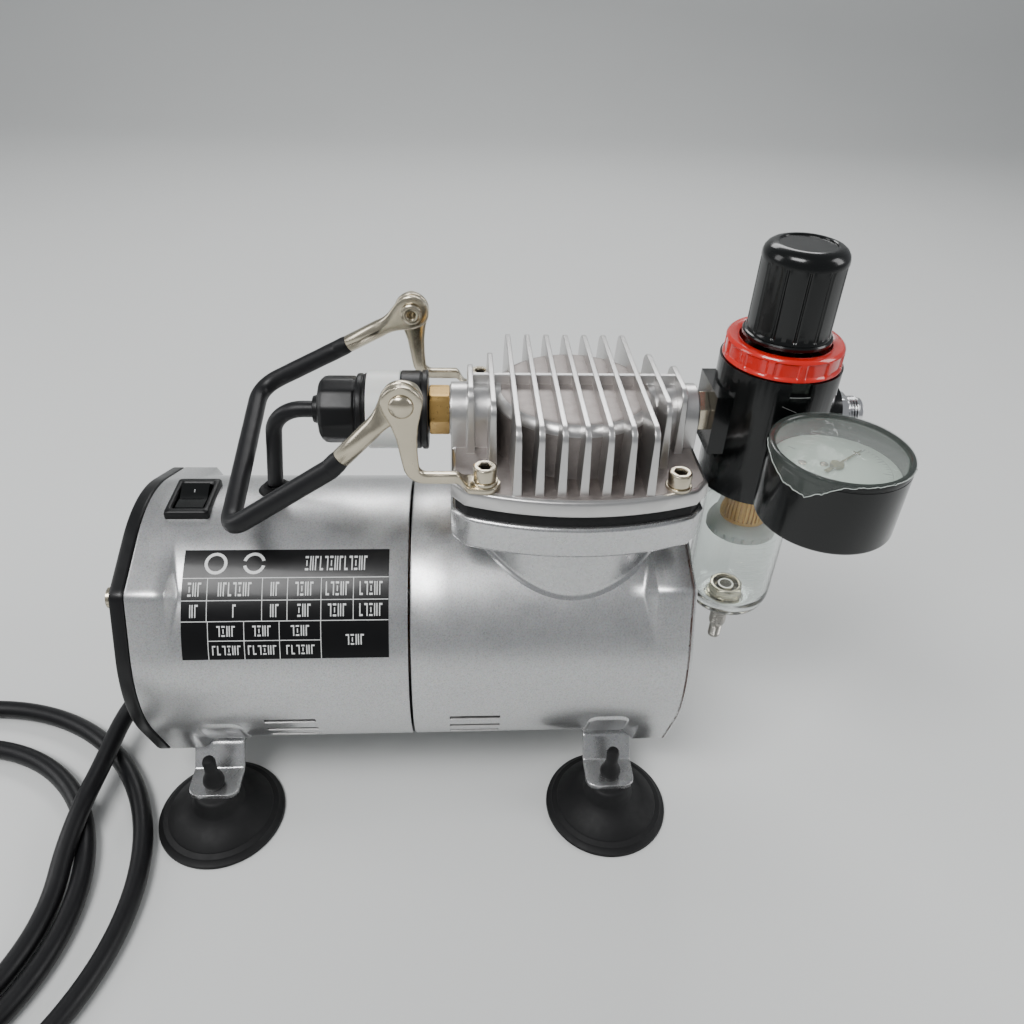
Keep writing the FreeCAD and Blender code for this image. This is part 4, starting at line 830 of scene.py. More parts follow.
def add_switch():
    low, high = span("switch_bezel")
    x = (low.x + high.x) / 2
    top = high.z
    frame_rings = [
        (low.z + 9.5, rounded_box(7.5, 10.5, 0.8)), (top - 1.0, rounded_box(7.5, 10.5, 0.8)),
        (top - 0.35, rounded_box(7.3, 10.3, 1.0)), (top, rounded_box(6.8, 9.8, 1.2)),
        (top, rounded_box(5.9, 8.3, 0.6)), (top - 0.7, rounded_box(5.3, 7.4, 0.5)),
        (top - 9.0, rounded_box(5.2, 7.2, 0.4)), (top - 9.6, rounded_box(6.3, 9.3, 0.4)),
        (low.z + 9.0, rounded_box(6.3, 9.3, 0.4)),
    ]
    Shape().turned(frame_rings, (x, 0, 0), count=120, loop=True).make(
        "switch_frame", M["black_plastic"], "black_plastic", bevel=0.15, replaces=["switch_bezel"])

    rocker_low, rocker_high = span("switch_rocker")
    pivot, width = 111.0, rocker_high.x - rocker_low.x
    reach, rise, valley, radius = 6.0, 2.9, 1.3, 6.65
    tilt = math.radians(10.0)
    profile = []
    for k in range(17):
        a = math.pi + math.atan2(-rise, reach) + (math.pi - 2 * math.atan2(-rise, reach)) * k / 16
        profile.append((radius * math.cos(a), radius * math.sin(a)))
    for k in range(13):
        y = reach * (1 - k / 6)
        profile.append((y, valley + (rise - valley) * abs(y / reach) ** 0.8))
    turned = [(y * math.cos(tilt) - z * math.sin(tilt), y * math.sin(tilt) + z * math.cos(tilt))
              for y, z in profile]
    rocker = Shape()
    rocker.prism(turned, (x - width / 2, 0, pivot), Y, Z, width)
    rocker.make("rocker_key", M["gloss_black"], "black_plastic", body="rocker", bevel=0.35,
                replaces=["switch_rocker"])
    marks = Shape()

    def on_key(mark_x, mark_y, lift=0.06):
        z = valley + (rise - valley) * abs(mark_y / reach) ** 0.8 + lift
        return (x + mark_x, mark_y * math.cos(tilt) - z * math.sin(tilt),
                pivot + mark_y * math.sin(tilt) + z * math.cos(tilt))

    marks.add([on_key(-0.2, 3.4), on_key(0.2, 3.4), on_key(0.2, 2.2), on_key(-0.2, 2.2)], [[0, 1, 2, 3]])
    marks.make("rocker_marks", M["grey_line"], "black_plastic", body="rocker")


def add_grommet():
    low, high = span("cable_grommet")
    x, y = (low.x + high.x) / 2, (low.y + high.y) / 2
    base = high.z - 3.2
    rings = [(base - 1.0, 4.6), (base - 0.2, 6.2), (base + 0.5, 6.45), (base + 1.2, 6.1), (base + 1.5, 5.3),
             (base + 2.4, 4.7), (high.z - 0.3, 4.3), (high.z, 3.9), (high.z, 2.7), (base - 1.0, 2.7)]
    Shape().turned(rings, (x, y, 0), count=56, loop=True).make(
        "lead_grommet", M["black_rubber"], "black_rubber", bevel=0.25, replaces=["cable_grommet"])


def add_end_caps():
    """The black plate at the left: a lobed disc with a turned-over rim."""
    low, high = span("end_cap_left")
    face = left_low.x - 0.2 - 4.8
    inner = left_low.x - 0.2
    layers = [(inner, 0.5), (inner - 0.5, 0.0), (face + 1.2, 0.0), (face + 0.35, 0.35), (face, 1.3),
              (face, 5.0), (face + 0.5, 5.8)]
    shape = Shape()
    angles = [k * 1.25 for k in range(288)]
    points = []
    for x, inset in layers:
        for degrees in angles:
            a = math.radians(degrees)
            r = casing_radius(degrees, 1.0) - inset
            points.append((x, r * math.cos(a), AXIS + r * math.sin(a)))
    n = len(angles)
    faces = [[i * n + k, i * n + (k + 1) % n, (i + 1) * n + (k + 1) % n, (i + 1) * n + k]
             for i in range(len(layers) - 1) for k in range(n)]
    faces += [list(range(n)), list(range((len(layers) - 1) * n, len(layers) * n))[::-1]]
    shape.add(points, faces)
    for k, reach in enumerate((12.0, 20.0, 28.0)):
        ribs = [(-0.35, reach), (0.0, reach + 0.3), (0.0, reach + 1.3), (-0.35, reach + 1.6)]
        shape.turned([(-(h), r) for h, r in ribs], (face + 0.5, 0, AXIS), axis=X, count=96, loop=True)
    shape.make("left_cap", M["cap_black"], "cap_black", sharp=30, replaces=["end_cap_left"])

    low, high = span("end_cap_right")
    layers = [(low.x, 0.0), (low.x + 0.7, 0.0), (high.x - 0.5, 0.2), (high.x, 0.8), (high.x, 3.4),
              (high.x - 0.3, 4.0)]
    shape = Shape()
    points = []
    for x, inset in layers:
        for degrees in angles:
            a = math.radians(degrees)
            r = casing_radius(degrees, 1.0) - inset
            points.append((x, r * math.cos(a), AXIS + r * math.sin(a)))
    faces = [[i * n + k, i * n + (k + 1) % n, (i + 1) * n + (k + 1) % n, (i + 1) * n + k]
             for i in range(len(layers) - 1) for k in range(n)]
    faces += [list(range(n))[::-1], list(range((len(layers) - 1) * n, len(layers) * n))]
    shape.add(points, faces)
    shape.slots[:len(angles)] = [1] * len(angles)
    shape.make("right_cap", [M["smooth_silver"], M["gasket"]], "casing_silver", sharp=30,
               replaces=["end_cap_right"])


# ---------------------------------------------------------------- cylinder head

FIN_PITCH = 6.8
HEAD_BASE = 138.5


def fin_outline(reach, bottom, top, corner):
    """A fin seen from the side: upright ends that lean in a little, with rounded upper corners."""
    lean = 1.6
    right = []
    for k in range(9):
        a = math.pi / 2 * k / 8
        right.append((reach - lean - corner + corner * math.cos(a), top - corner + corner * math.sin(a)))
    left = [(-y, z) for y, z in reversed(right)]
    return [(-reach, bottom), (reach, bottom), *right, *left]


def add_head():
    plate_top = span("valve_plate")[1].z
    top = span("cylinder_head")[1].z
    shape = Shape()
    slab(shape, [(plate_top, 0.3), (plate_top + 0.5, 0.0), (HEAD_BASE - 1.3, 0.1), (HEAD_BASE - 0.4, 0.5),
                 (HEAD_BASE, 1.3)])
    for k in range(-5, 6):
        reach = {5: 13.0, 4: 22.0}.get(abs(k), 37.2)
        x = PUMP_X + k * FIN_PITCH
        outline = fin_outline(reach, HEAD_BASE - 1, top, 4.5)
        wide = 2.9

        def draft(p):
            return 0.62 * max(0.0, (p[1] - HEAD_BASE) / (top - HEAD_BASE))

        shape.prism(outline, (x - wide / 2, 0, 0), Y, Z, wide, inset=draft)
    rib_low, rib_high = PUMP_X - 5 * FIN_PITCH, PUMP_X + 5 * FIN_PITCH
    shape.prism([(rib_low, HEAD_BASE), (rib_high, HEAD_BASE), (rib_high, top - 0.3), (rib_low, top - 0.3)],
                (0, 2.9, 0), X, Z, 1.7)
    port = PORT
    for side in (-1, 1):
        outer, inner = PUMP_X + side * 40.3, PUMP_X + side * 24.0
        block = [(-9.2, HEAD_BASE - 1), (9.2, HEAD_BASE - 1), (9.2, port)]
        block += [(9.2 * math.cos(math.pi * k / 18), port + 9.2 * math.sin(math.pi * k / 18))
                  for k in range(1, 19)]
        shape.prism(block, (min(outer, inner), 0, 0), Y, Z, abs(outer - inner))
        shape.turned([(0.0, 8.4), (0.5, 8.2), (0.5, 5.4), (-1.0, 5.2)], (outer, 0, port), axis=X * side,
                     count=48)
    shape.make("head_casting", M["cast_aluminium"], "cast_aluminium", bevel=0.4, sharp=40,
               replaces=["cylinder_head"])

    chamber = Shape()
    rings = [(HEAD_BASE - 0.5, 28.6), (HEAD_BASE + 1.2, 27.5)]
    rings += [(156.3 - 4.2 + 4.2 * math.sin(a), 27.2 - 4.2 + 4.2 * math.cos(a))
              for a in (math.pi / 2 * k / 8 for k in range(9))]
    rings.append((156.3, 0.0))
    chamber.turned(rings, (PUMP_X, 0, 0), count=128)
    # the rounded top edge takes the brighter, smoother cast finish: partly a smoother real finish, partly a
    # painted highlight
    for ring in range(3, 8):
        chamber.slots[ring * 128:(ring + 1) * 128] = [1] * 128
    chamber.make("head_chamber", [M["blasted_aluminium"], M["cast_aluminium"]], "cast_aluminium", sharp=50)
    deck = Shape()
    slab(deck, [(HEAD_BASE - 0.2, 1.5), (HEAD_BASE + 0.12, 1.7)])
    deck.make("head_deck", M["blasted_aluminium"], "cast_aluminium")


def add_head_screws():
    """Socket screws and their washers."""
    screws, washers = Shape(), Shape()
    for sx in (-1, 1):
        for sy in (-1, 1):
            x, y = PUMP_X + sx * 30.0, sy * 32.0
            seat = HEAD_BASE + (2.1 if sx < 0 else 0.0)
            washers.turned([(seat, 4.1), (seat + 0.85, 4.1), (seat + 1.0, 3.9), (seat + 1.0, 2.2),
                            (seat, 2.2)], (x, y, 0), count=48, loop=True)
            base, top = seat + 1.0, seat + 1.0 + 4.6
            hexagon, mouth = polygon(6, 3.6), polygon(6, 4.1)
            screws.turned([(base, 3.3), (base + 0.25, 3.55), (top - 0.7, 3.6), (top - 0.25, 3.45),
                           (top, 3.05), (top, mouth), (top - 0.35, hexagon), (base + 0.3, hexagon)],
                          (x, y, 0), count=60, loop=True)
            # the socket's bore and inner walls take the dark finish: painted shade
            screws.turned([(base + 0.4, 2.6), (top - 3.2, 2.6)], (x, y, 0), count=48, slot=1)
            screws.turned([(base + 0.5, polygon(6, 3.5)), (top - 0.9, polygon(6, 3.56)),
                           (top - 0.9, polygon(6, 3.4)), (base + 0.5, polygon(6, 3.4))], (x, y, 0), count=60,
                          loop=True, slot=1)
    screws.make("socket_screws", [M["nickel"], M["socket_dark"]], "nickel", bevel=0.1, sharp=30,
                replaces=["head_screws"])
    washers.make("screw_washers", M["nickel"], "nickel", bevel=0.1, replaces=["head_washers"])


# ---------------------------------------------------------------- pressure switch


def add_pressure_switch():
    port, start = PORT, -28.2
    facets = soft_polygon(12, 21.2, 10.9)

    def scaled(share):
        return lambda a: facets(a) * share

    cap = Shape()
    cap.turned([(start - 2.4, 3.4), (start - 2.3, 4.3), (start - 1.2, 4.6), (start - 0.4, 4.7),
                (start, 5.4), (start, scaled(0.80)), (start + 0.5, scaled(0.90)),
                (start + 1.5, scaled(0.975)),
                (start + 2.8, facets), (start + 11.2, facets), (start + 11.7, scaled(0.97)),
                (start + 12.3, scaled(0.97))], (0, 0, port), axis=X, count=96)
    cap.turned([(start + 12.1, 10.4), (start + 12.2, 11.4), (start + 12.6, 11.7), (start + 13.9, 11.7),
                (start + 14.2, 11.2), (start + 14.6, 11.6), (start + 15.2, 11.9), (start + 15.4, 11.2)],
               (0, 0, port), axis=X, count=96)
    cap.make("switch_cap", M["black_plastic"], "black_plastic", bevel=0.25, sharp=25,
             replaces=["pressure_switch_cap"])
    label = Shape()
    left, right, r = -12.7, -2.0, 12.7
    label.turned([(left, r - 1.0), (left + 0.05, r - 0.25), (left + 0.4, r), (right - 0.4, r),
                  (right - 0.05, r - 0.25), (right, r - 1.0)], (0, 0, port), axis=X, count=96, loop=True)
    label.make("switch_label", M["white_plastic"], "white_plastic", replaces=["pressure_switch_label"])
    marks = Shape()
    for along, first, length in ((2.2, 96, 20), (2.2, 122, 26), (3.6, 100, 34)):
        for k in range(length // 2):
            a, b = math.radians(first + 2 * k), math.radians(first + 2 * k + 1.4)
            points = [(left + along + dx, -(r + 0.03) * math.cos(t - math.pi / 2) * 1.0,
                       port + (r + 0.03) * math.sin(t - math.pi / 2) * 1.0)
                      for dx, t in ((0, a), (0.9, a), (0.9, b), (0, b))]
            marks.add([(px, -py, pz) for px, py, pz in points], [[0, 1, 2, 3]])
    marks.make("label_marks", M["print_dark"], "white_plastic")
    rear = Shape()
    rear.turned([(-2.0, 11.6), (-2.0, 12.3), (-1.6, 12.7), (4.2, 12.7), (4.6, 12.3), (4.8, 12.3),
                 (5.0, 12.8), (5.4, 12.9), (6.4, 12.9), (6.8, 12.5), (6.8, 6.0)], (0, 0, port), axis=X,
                count=96)
    rear.make("switch_rear", M["black_plastic"], "black_plastic", bevel=0.2,
              replaces=["pressure_switch_body"])
    across = 14.0
    flat = polygon(6, across)
    corner = across / 2 * 1.09
    chamfer = lambda a: min(flat(a), corner)
    hexagon = Shape()
    hexagon.turned([(6.8, 5.6), (7.0, 5.6), (7.1, chamfer), (7.5, flat), (13.3, flat),
                    (13.8, chamfer), (13.9, 5.5)], (0, 0, port), axis=X, count=96)
    hexagon.make("brass_fitting", M["brass"], "brass", bevel=0.15, sharp=20, replaces=["switch_fitting"])


# ---------------------------------------------------------------- handle

HANDLE_X = sum(v.x for v in span("handle_rivets")) / 2
HANDLE_Z = sum(v.z for v in span("handle_rivets")) / 2
# each arm: where its ferrule starts and ends, and the cross bar's corner
HANDLE_ARMS = {
    -1: ((-7.3, -31.8, 160.3), (-17.9, -33.0, 149.4), (-54.4, -33.0, 123.4)),
    1: ((-10.3, 32.6, 162.0), (-22.2, 34.5, 154.8), (-55.7, 36.0, 136.7)),
}
# the grip runs straight on out of each ferrule, and then bends four times from front to rear
GRIP_STRAIGHT = 5
GRIP_BENDS = [8.0, 6.0, 9.0, 8.0]


def bracket_sections(side):
    """A flat strap: a round eye, a tapering stem, a bend to the right, and a tab under the head screw."""
    sections = []
    x, z, y = HANDLE_X, HANDLE_Z, side * 34.45
    for k in range(9):
        a = math.pi / 2 * (1 - k / 8)
        sections.append(((x, y, z + 6.0 * math.sin(a)), X * max(0.35, 6.0 * math.cos(a)), Y * 1.3, 4))
    for dx, dz, half in ((0.1, -2.5, 5.4), (0.6, -6.5, 4.0), (1.1, -11.0, 3.0), (1.5, -16.0, 2.6),
                         (1.9, -19.5, 2.4)):
        sections.append(((x + dx, y, z + dz), X * half, Y * 1.3, 4))
    centre = Vector((x + 6.6, y, z - 20.0))
    for k in range(1, 8):
        a = math.pi / 2 * k / 7
        out = Vector((-math.cos(a), 0, -math.sin(a)))
        sections.append((centre + out * (4.6 - 0.2 * k / 7), -out * (2.4 - 0.7 * k / 7), Y * 1.4, 4))
    tab_x, tab_z = PUMP_X - 30.0, HEAD_BASE + 1.05
    start = centre + Z * -4.4
    for t in (0.25, 0.5, 0.7, 0.78, 0.86, 0.93, 1.0):
        late = max(0.0, (t - 0.7) / 0.3)
        ease = late * late * (3 - 2 * late)
        middle = (start.x + (tab_x - 4.8 - start.x) * t, y + (side * 32.0 - y) * ease,
                  start.z + (tab_z - start.z) * ease)
        sections.append((middle, Z * (1.7 - 0.65 * ease), Y * (1.4 + 3.0 * ease ** 2), 5))
    for k in range(0, 9):
        a = math.pi / 2 * k / 8
        sections.append(((tab_x + 4.8 * math.sin(a), side * 32.0, tab_z), Z * 1.05,
                         Y * max(0.3, 4.8 * math.cos(a)), 5))
    return sections


def sleeve_sections(side):
    """A flat round eye that narrows to a teardrop and swells into the ferrule."""
    end = Vector(HANDLE_ARMS[side][1])
    eye = Vector((HANDLE_X, side * 31.5, HANDLE_Z))
    flat = Vector((end.x - eye.x, 0, end.z - eye.z)).normalized()
    wide = flat.cross(Y)
    sections = []
    for k in range(9):
        a = math.pi / 2 * k / 8
        sections.append((eye - flat * 6.0 * math.cos(a), wide * max(0.35, 6.0 * math.sin(a)), Y * 1.25, 4))
    reach = (end - eye).length
    way = (end - eye).normalized()
    round_wide = way.cross(Y).normalized()
    for along, half, thick, power in ((2.5, 5.6, 1.25, 4), (5.0, 4.5, 1.3, 4), (7.5, 3.5, 1.6, 3),
                                      (9.5, 3.0, 2.2, 2.4), (11.5, 2.9, 2.8, 2), (13.0, 3.0, 3.0, 2),
                                      (reach - 0.2, 3.0, 3.0, 2), (reach, 2.8, 2.8, 2)):
        share = min(1.0, along / 11.5)
        middle = eye + flat * along * (1 - share) + way * along * share
        sections.append((middle, wide * half * (1 - share) + round_wide * half * share,
                         Y * thick if share < 1 else round_wide.cross(way) * thick, power))
    return sections


def add_handle():
    """Brackets, ferrules and rivets of the two pivots."""
    for side, word in ((-1, "front"), (1, "rear")):
        bracket = Shape().loft(bracket_sections(side), count=40)
        bracket.make(f"strap_{word}", M["nickel"], "nickel", sharp=50,
                     replaces=[f"handle_bracket_{word}"])
        ferrule = Shape().loft(sleeve_sections(side), count=40)
        ferrule.make(f"ferrule_{word}", M["nickel"], "nickel", body="handle", sharp=50,
                     replaces=[f"handle_sleeve_{word}"])
    rivets = Shape()
    outer = span("handle_rivets")[1].y - 2.0
    tail = 30.2 - 0.35
    for side in (-1, 1):
        rings = [(outer, 3.6), (outer + 0.3, 3.6)]
        rings += [(outer + 0.3 + 1.7 * math.sin(a), 3.55 * math.cos(a)) for a in
                  (math.pi / 2 * k / 9 for k in range(1, 10))]
        pivot = (HANDLE_X, 0, HANDLE_Z)
        rivets.turned(rings, pivot, axis=Y * side, count=64)
        rivets.turned([(tail, 2.6), (tail, 3.4), (tail - 0.7, 3.6), (tail - 1.2, 3.1), (tail - 1.3, 2.4),
                       (tail - 1.1, 1.6), (tail + 1.5, 1.4)], pivot, axis=Y * side, count=48)
        rivets.turned([(tail, 2.45), (outer, 2.45)], pivot, axis=Y * side, count=32)
    rivets.make("pivot_rivets", M["nickel"], "nickel", sharp=40, replaces=["handle_rivets"])


def add_grip():
    """The soft tube drawn over the handle's wire."""
    halves = []
    for side in (-1, 1):
        begin, end, corner = (Vector(p) for p in HANDLE_ARMS[side])
        halves.append([end, end + (end - begin).normalized() * GRIP_STRAIGHT, corner])
    path = rounded(halves[0] + halves[1][::-1], GRIP_BENDS, 14)
    dense = []
    for a, b in zip(path, path[1:]):
        pieces = max(1, int((b - a).length / 1.5))
        dense += [a + (b - a) * k / pieces for k in range(pieces)]
    dense.append(path[-1])
    last = len(dense) - 1

    def radius(t):
        wrinkle = 0.05 * noise.noise(Vector((t * 40, 0, 0)))
        end = min(t, 1 - t) * last
        return 3.15 + wrinkle - (0.25 if end < 0.5 else 0.0)

    Shape().swept(dense, radius, count=32).make(
        "grip_tube", M["cord_black"], "black_plastic", body="handle", sharp=40, replaces=["handle_bar"])


# ---------------------------------------------------------------- filter regulator

rx = sum(v.x for v in span("filter_bowl")) / 2
REG = Vector((rx, 0, 0))
PORT = 147.5


def add_knob():
    """Twelve broad panels parted by fine lines, a line below the cap, and a sunk top."""
    low, high = span("adjusting_knob")
    bottom, top = low.z, high.z
    lip = high.x - rx

    def grooved(radius, deep):
        def at_angle(a):
            off = abs((a / TAU * 12 + 0.35) % 1.0 - 0.5) * 2
            edge = max(0.0, 1 - abs(off - 0.9) / 0.12)
            return radius * (1 - 0.012 * (1 - off * off)) - deep * edge

        return at_angle

    rings = [(bottom + 1.2, 4.4), (bottom, 4.4), (bottom, lip - 0.4), (bottom + 0.3, lip - 0.05),
             (bottom + 1.2, lip), (bottom + 1.7, lip - 0.3), (bottom + 1.9, lip - 0.8),
             (bottom + 2.5, lip - 0.9)]
    for k in range(12):
        z = bottom + 2.9 + k * (top - 5.3 - bottom - 2.9) / 11
        share = (z - bottom) / (top - bottom)
        rings.append((z, grooved(13.15 - 0.2 * share, 0.35)))
    rings += [(top - 5.0, 12.85), (top - 4.8, 12.85), (top - 4.7, 13.0), (top - 3.4, 12.95),
              (top - 2.2, 12.6), (top - 1.1, 11.8), (top - 0.4, 10.8), (top, 9.6), (top, 8.9),
              (top - 0.2, 8.6), (top - 0.5, 8.5), (top - 0.5, 0.0)]
    knob = Shape()
    knob.turned(rings, REG, count=360)
    knob.make("knob_grip", M["gloss_black"], "black_plastic", body="knob", sharp=28,
              replaces=["adjusting_knob"])
    # a grey arc on one side of the sunk top's rim: a painted highlight
    rim_glint = Shape()
    for k in range(18):
        a, b = math.radians(-70 + 8 * k), math.radians(-70 + 8 * (k + 1))
        rim_glint.add([(rx + r * math.cos(t), r * math.sin(t), top - 0.01)
                  for t, r in ((a, 9.3), (b, 9.3), (b, 9.0), (a, 9.0))], [[0, 1, 2, 3]])
    rim_glint.make("knob_rim_highlight", M["grey_line"], "black_plastic", body="knob")


def add_lock_ring():
    """The red ring: a flat top, and shallow scallops between two lips."""
    low, high = span("lock_ring")
    bottom, top = low.z, high.z
    outer, bore = high.x - rx, 14.6

    def scalloped(radius, deep):
        def at_angle(a):
            off = abs((a / TAU * 12) % 1.0 - 0.5) * 2
            edge = min(1.0, max(0.0, (0.84 - off) / 0.14))
            return radius - deep * edge * edge * (3 - 2 * edge)

        return at_angle

    rings = [(bottom, bore), (bottom, outer - 0.4), (bottom + 0.35, outer), (bottom + 0.8, outer - 0.05),
             (bottom + 1.1, scalloped(outer - 0.1, 0.2)), (bottom + 1.5, scalloped(outer - 0.15, 0.5))]
    rings += [(bottom + 1.6 + k * (top - bottom - 3.2) / 5, scalloped(outer - 0.2, 0.6)) for k in range(6)]
    rings += [(top - 1.4, scalloped(outer - 0.25, 0.3)), (top - 1.1, outer - 0.3), (top - 0.5, outer - 0.5),
              (top, outer - 1.1), (top, bore + 1.2), (top - 0.3, bore + 0.5), (top - 0.5, bore)]
    Shape().turned(rings, REG, count=384, loop=True).make(
        "red_ring", M["red_plastic"], "red_plastic", sharp=35, replaces=["lock_ring"])


def add_filter():
    """The clear bowl with its scale, and the filter, baffle, nut and drain seen through it."""
    low, high = span("filter_bowl")
    top, bottom, r = high.z, low.z, high.x - rx
    wall = 1.8
    outer = [(bottom, 4.6), (bottom, 8.6), (bottom + 0.5, 10.6)]
    outer += [(bottom + 9.5 - 9.0 * math.cos(a), 10.6 + (r - 10.6) * math.sin(a) ** 0.8)
              for a in (math.pi / 2 * k / 10 for k in range(1, 11))]
    outer += [(top - 6, r), (top - 0.2, r), (top, r - 0.2)]
    inner = [(top, r - wall), (bottom + 10.5, r - wall)]
    inner += [(bottom + 10.5 - 8.0 * math.sin(a), 8.6 + (r - wall - 8.6) * math.cos(a))
              for a in (math.pi / 2 * k / 8 for k in range(1, 9))]
    inner.append((bottom + 2.3, 4.6))
    Shape().turned(outer + inner, REG, count=96, loop=True).make(
        "clear_bowl", M["clear_plastic"], "clear_plastic", sharp=50, replaces=["filter_bowl"])
    scale = Shape()
    for k in range(13):
        z = bottom + 13.5 + k * 2.0
        half = 26 if k % 3 == 0 else 19
        steps = 12
        for i in range(steps):
            a = math.radians(-90 + 8 - half + 2 * half * i / steps)
            b = math.radians(-90 + 8 - half + 2 * half * (i + 1) / steps)
            scale.add([(rx + (r + 0.03) * math.cos(t), (r + 0.03) * math.sin(t), z + dz)
                       for t, dz in ((a, 0), (b, 0), (b, 0.16), (a, 0.16))], [[0, 1, 2, 3]])
    scale.make("bowl_scale", M["ring_line"], "clear_plastic")

    low, high = span("filter_element")

    def slotted(radius):
        return lambda a: radius - (0.55 if (a / TAU * 36) % 1.0 < 0.3 else 0.0)

    e = high.x - rx
    element = Shape()
    element.turned([(low.z, e - 0.6), (low.z + 0.4, e), (low.z + 1.6, e), (low.z + 1.8, slotted(e)),
                    (high.z - 1.8, slotted(e)), (high.z - 1.5, e), (high.z, e)], REG, count=288)
    element.make("filter_core", M["sintered_bronze"], "sintered_bronze", sharp=35,
                 replaces=["filter_element"])

    low, high = span("filter_baffle")
    r = high.x - rx

    def vaned(radius):
        return lambda a: radius - (0.7 if (a / TAU * 24) % 1.0 < 0.16 else 0.0)

    baffle = Shape()
    baffle.turned([(low.z, 3.0), (low.z + 0.4, 3.4), (low.z + 2.4, 5.4), (low.z + 4.4, r - 1.1),
                   (low.z + 5.0, r - 0.4), (low.z + 5.6, r), (low.z + 6.2, vaned(r)),
                   (high.z - 3.0, vaned(r)), (high.z - 2.2, r), (high.z - 1.2, r - 0.6),
                   (high.z - 0.3, 9.8), (high.z, 9.2)], REG, count=240)
    baffle.make("white_baffle", M["white_plastic"], "white_plastic", sharp=40, replaces=["filter_baffle"])

    low, high = span("bowl_nut")
    octagon = polygon(8, 2 * 6.2)
    nut = Shape()
    nut.turned([(low.z, 4.6), (low.z, 6.6), (low.z + 0.6, 6.7), (low.z + 0.9, 5.9), (low.z + 1.6, 5.8),
                (low.z + 1.9, octagon), (high.z - 0.6, octagon), (high.z - 0.1, 5.9), (high.z, 5.6),
                (high.z, 5.0), (high.z - 0.9, 4.6)], REG, count=96, loop=True)
    profile = ((-1.1, 4.6), (-1.1, 7.6), (-0.8, 8.1), (-0.2, 8.1), (0.0, 7.6), (0.0, 4.6))
    nut.turned([(bottom + 0.1 + h, q) for h, q in profile], REG, count=72, loop=True)
    nut.make("drain_nut", M["nickel"], "machined_steel", bevel=0.15, sharp=30, replaces=["bowl_nut"])

    low, high = span("drain_valve")
    drain = Shape()
    tall = high.z - low.z
    thin = (50.6 - low.z) / tall
    drain.turned(threaded(2.6, 0.6, 0.9, low.z + 0.3, low.z + tall * thin), REG, count=48)
    drain.turned([(low.z, 1.9), (low.z + 0.4, 2.3), (low.z + 0.6, 2.3)], REG, count=48)
    drain.turned(threaded(3.3, 0.4, 1.0, low.z + tall * thin, high.z - 5.0), REG, count=48)
    drain.turned([(high.z - 5.2, 3.3), (high.z - 0.5, 3.3), (high.z, 3.0)], REG, count=48)
    # a dark disc on the stud's upper end: painted shade
    drain.turned([(high.z, 2.4), (high.z + 0.02, 2.4)], REG, count=48, slot=1)
    drain.make("drain_stud", [M["machined_steel"], M["socket_dark"]], "machined_steel", body="drain",
               sharp=50,
               replaces=["drain_valve"])


def add_outlet():
    high = span("air_outlet")[1]
    flat = polygon(6, 12.0)
    chamfer = lambda a: min(flat(a), 6.45)
    start = rx + 21.5
    outlet = Shape()
    outlet.turned([(start - 4, 4.6), (start, 4.6), (start, 5.6), (start + 0.5, chamfer), (start + 0.9, flat),
                   (start + 3.3, flat), (start + 3.8, chamfer), (start + 4.2, 5.6), (start + 4.3, 4.4)],
                  (0, 0, PORT), axis=X, count=96)
    outlet.turned(threaded(5.4, 0.45, 0.95, start + 4.3, high.x - 1.4), (0, 0, PORT), axis=X, count=60)
    outlet.turned([(high.x - 1.5, 4.7), (high.x - 0.3, 4.7), (high.x, 4.3), (high.x, 2.4), (high.x - 6, 2.4)],
                  (0, 0, PORT), axis=X, count=60)
    outlet.make("threaded_outlet", M["chrome"], "chrome", bevel=0.08, sharp=30, replaces=["air_outlet"])


def add_regulator_details():
    """Painted highlights on the body: a bright strip along the latch's lower lip and a fine one along a score
    line.
    """
    radius = 19.5
    latch_glints = Shape()

    def strip(a0, z0, a1, z1, wide, slot_height=0.04):
        points = []
        for k in range(9):
            t = k / 8
            a = math.radians(a0 + (a1 - a0) * t)
            z = z0 + (z1 - z0) * t
            for dz in (-wide / 2, wide / 2):
                points.append((rx + (radius + slot_height) * math.cos(a),
                               (radius + slot_height) * math.sin(a),
                               z + dz))
        latch_glints.add(points, [[2 * i, 2 * i + 2, 2 * i + 3, 2 * i + 1] for i in range(8)])

    strip(-97.5, 162.8, -78.0, 162.8, 0.3)
    strip(-102.0, 159.6, -88.0, 157.7, 0.14)
    latch_glints.make("latch_highlights", M["grey_line"], "black_plastic")


# ---------------------------------------------------------------- gauge

GAUGE = Vector((126.1, -43.8, 0))
DIAL_RADIUS = 18.5
DIAL_TOP = 153.3


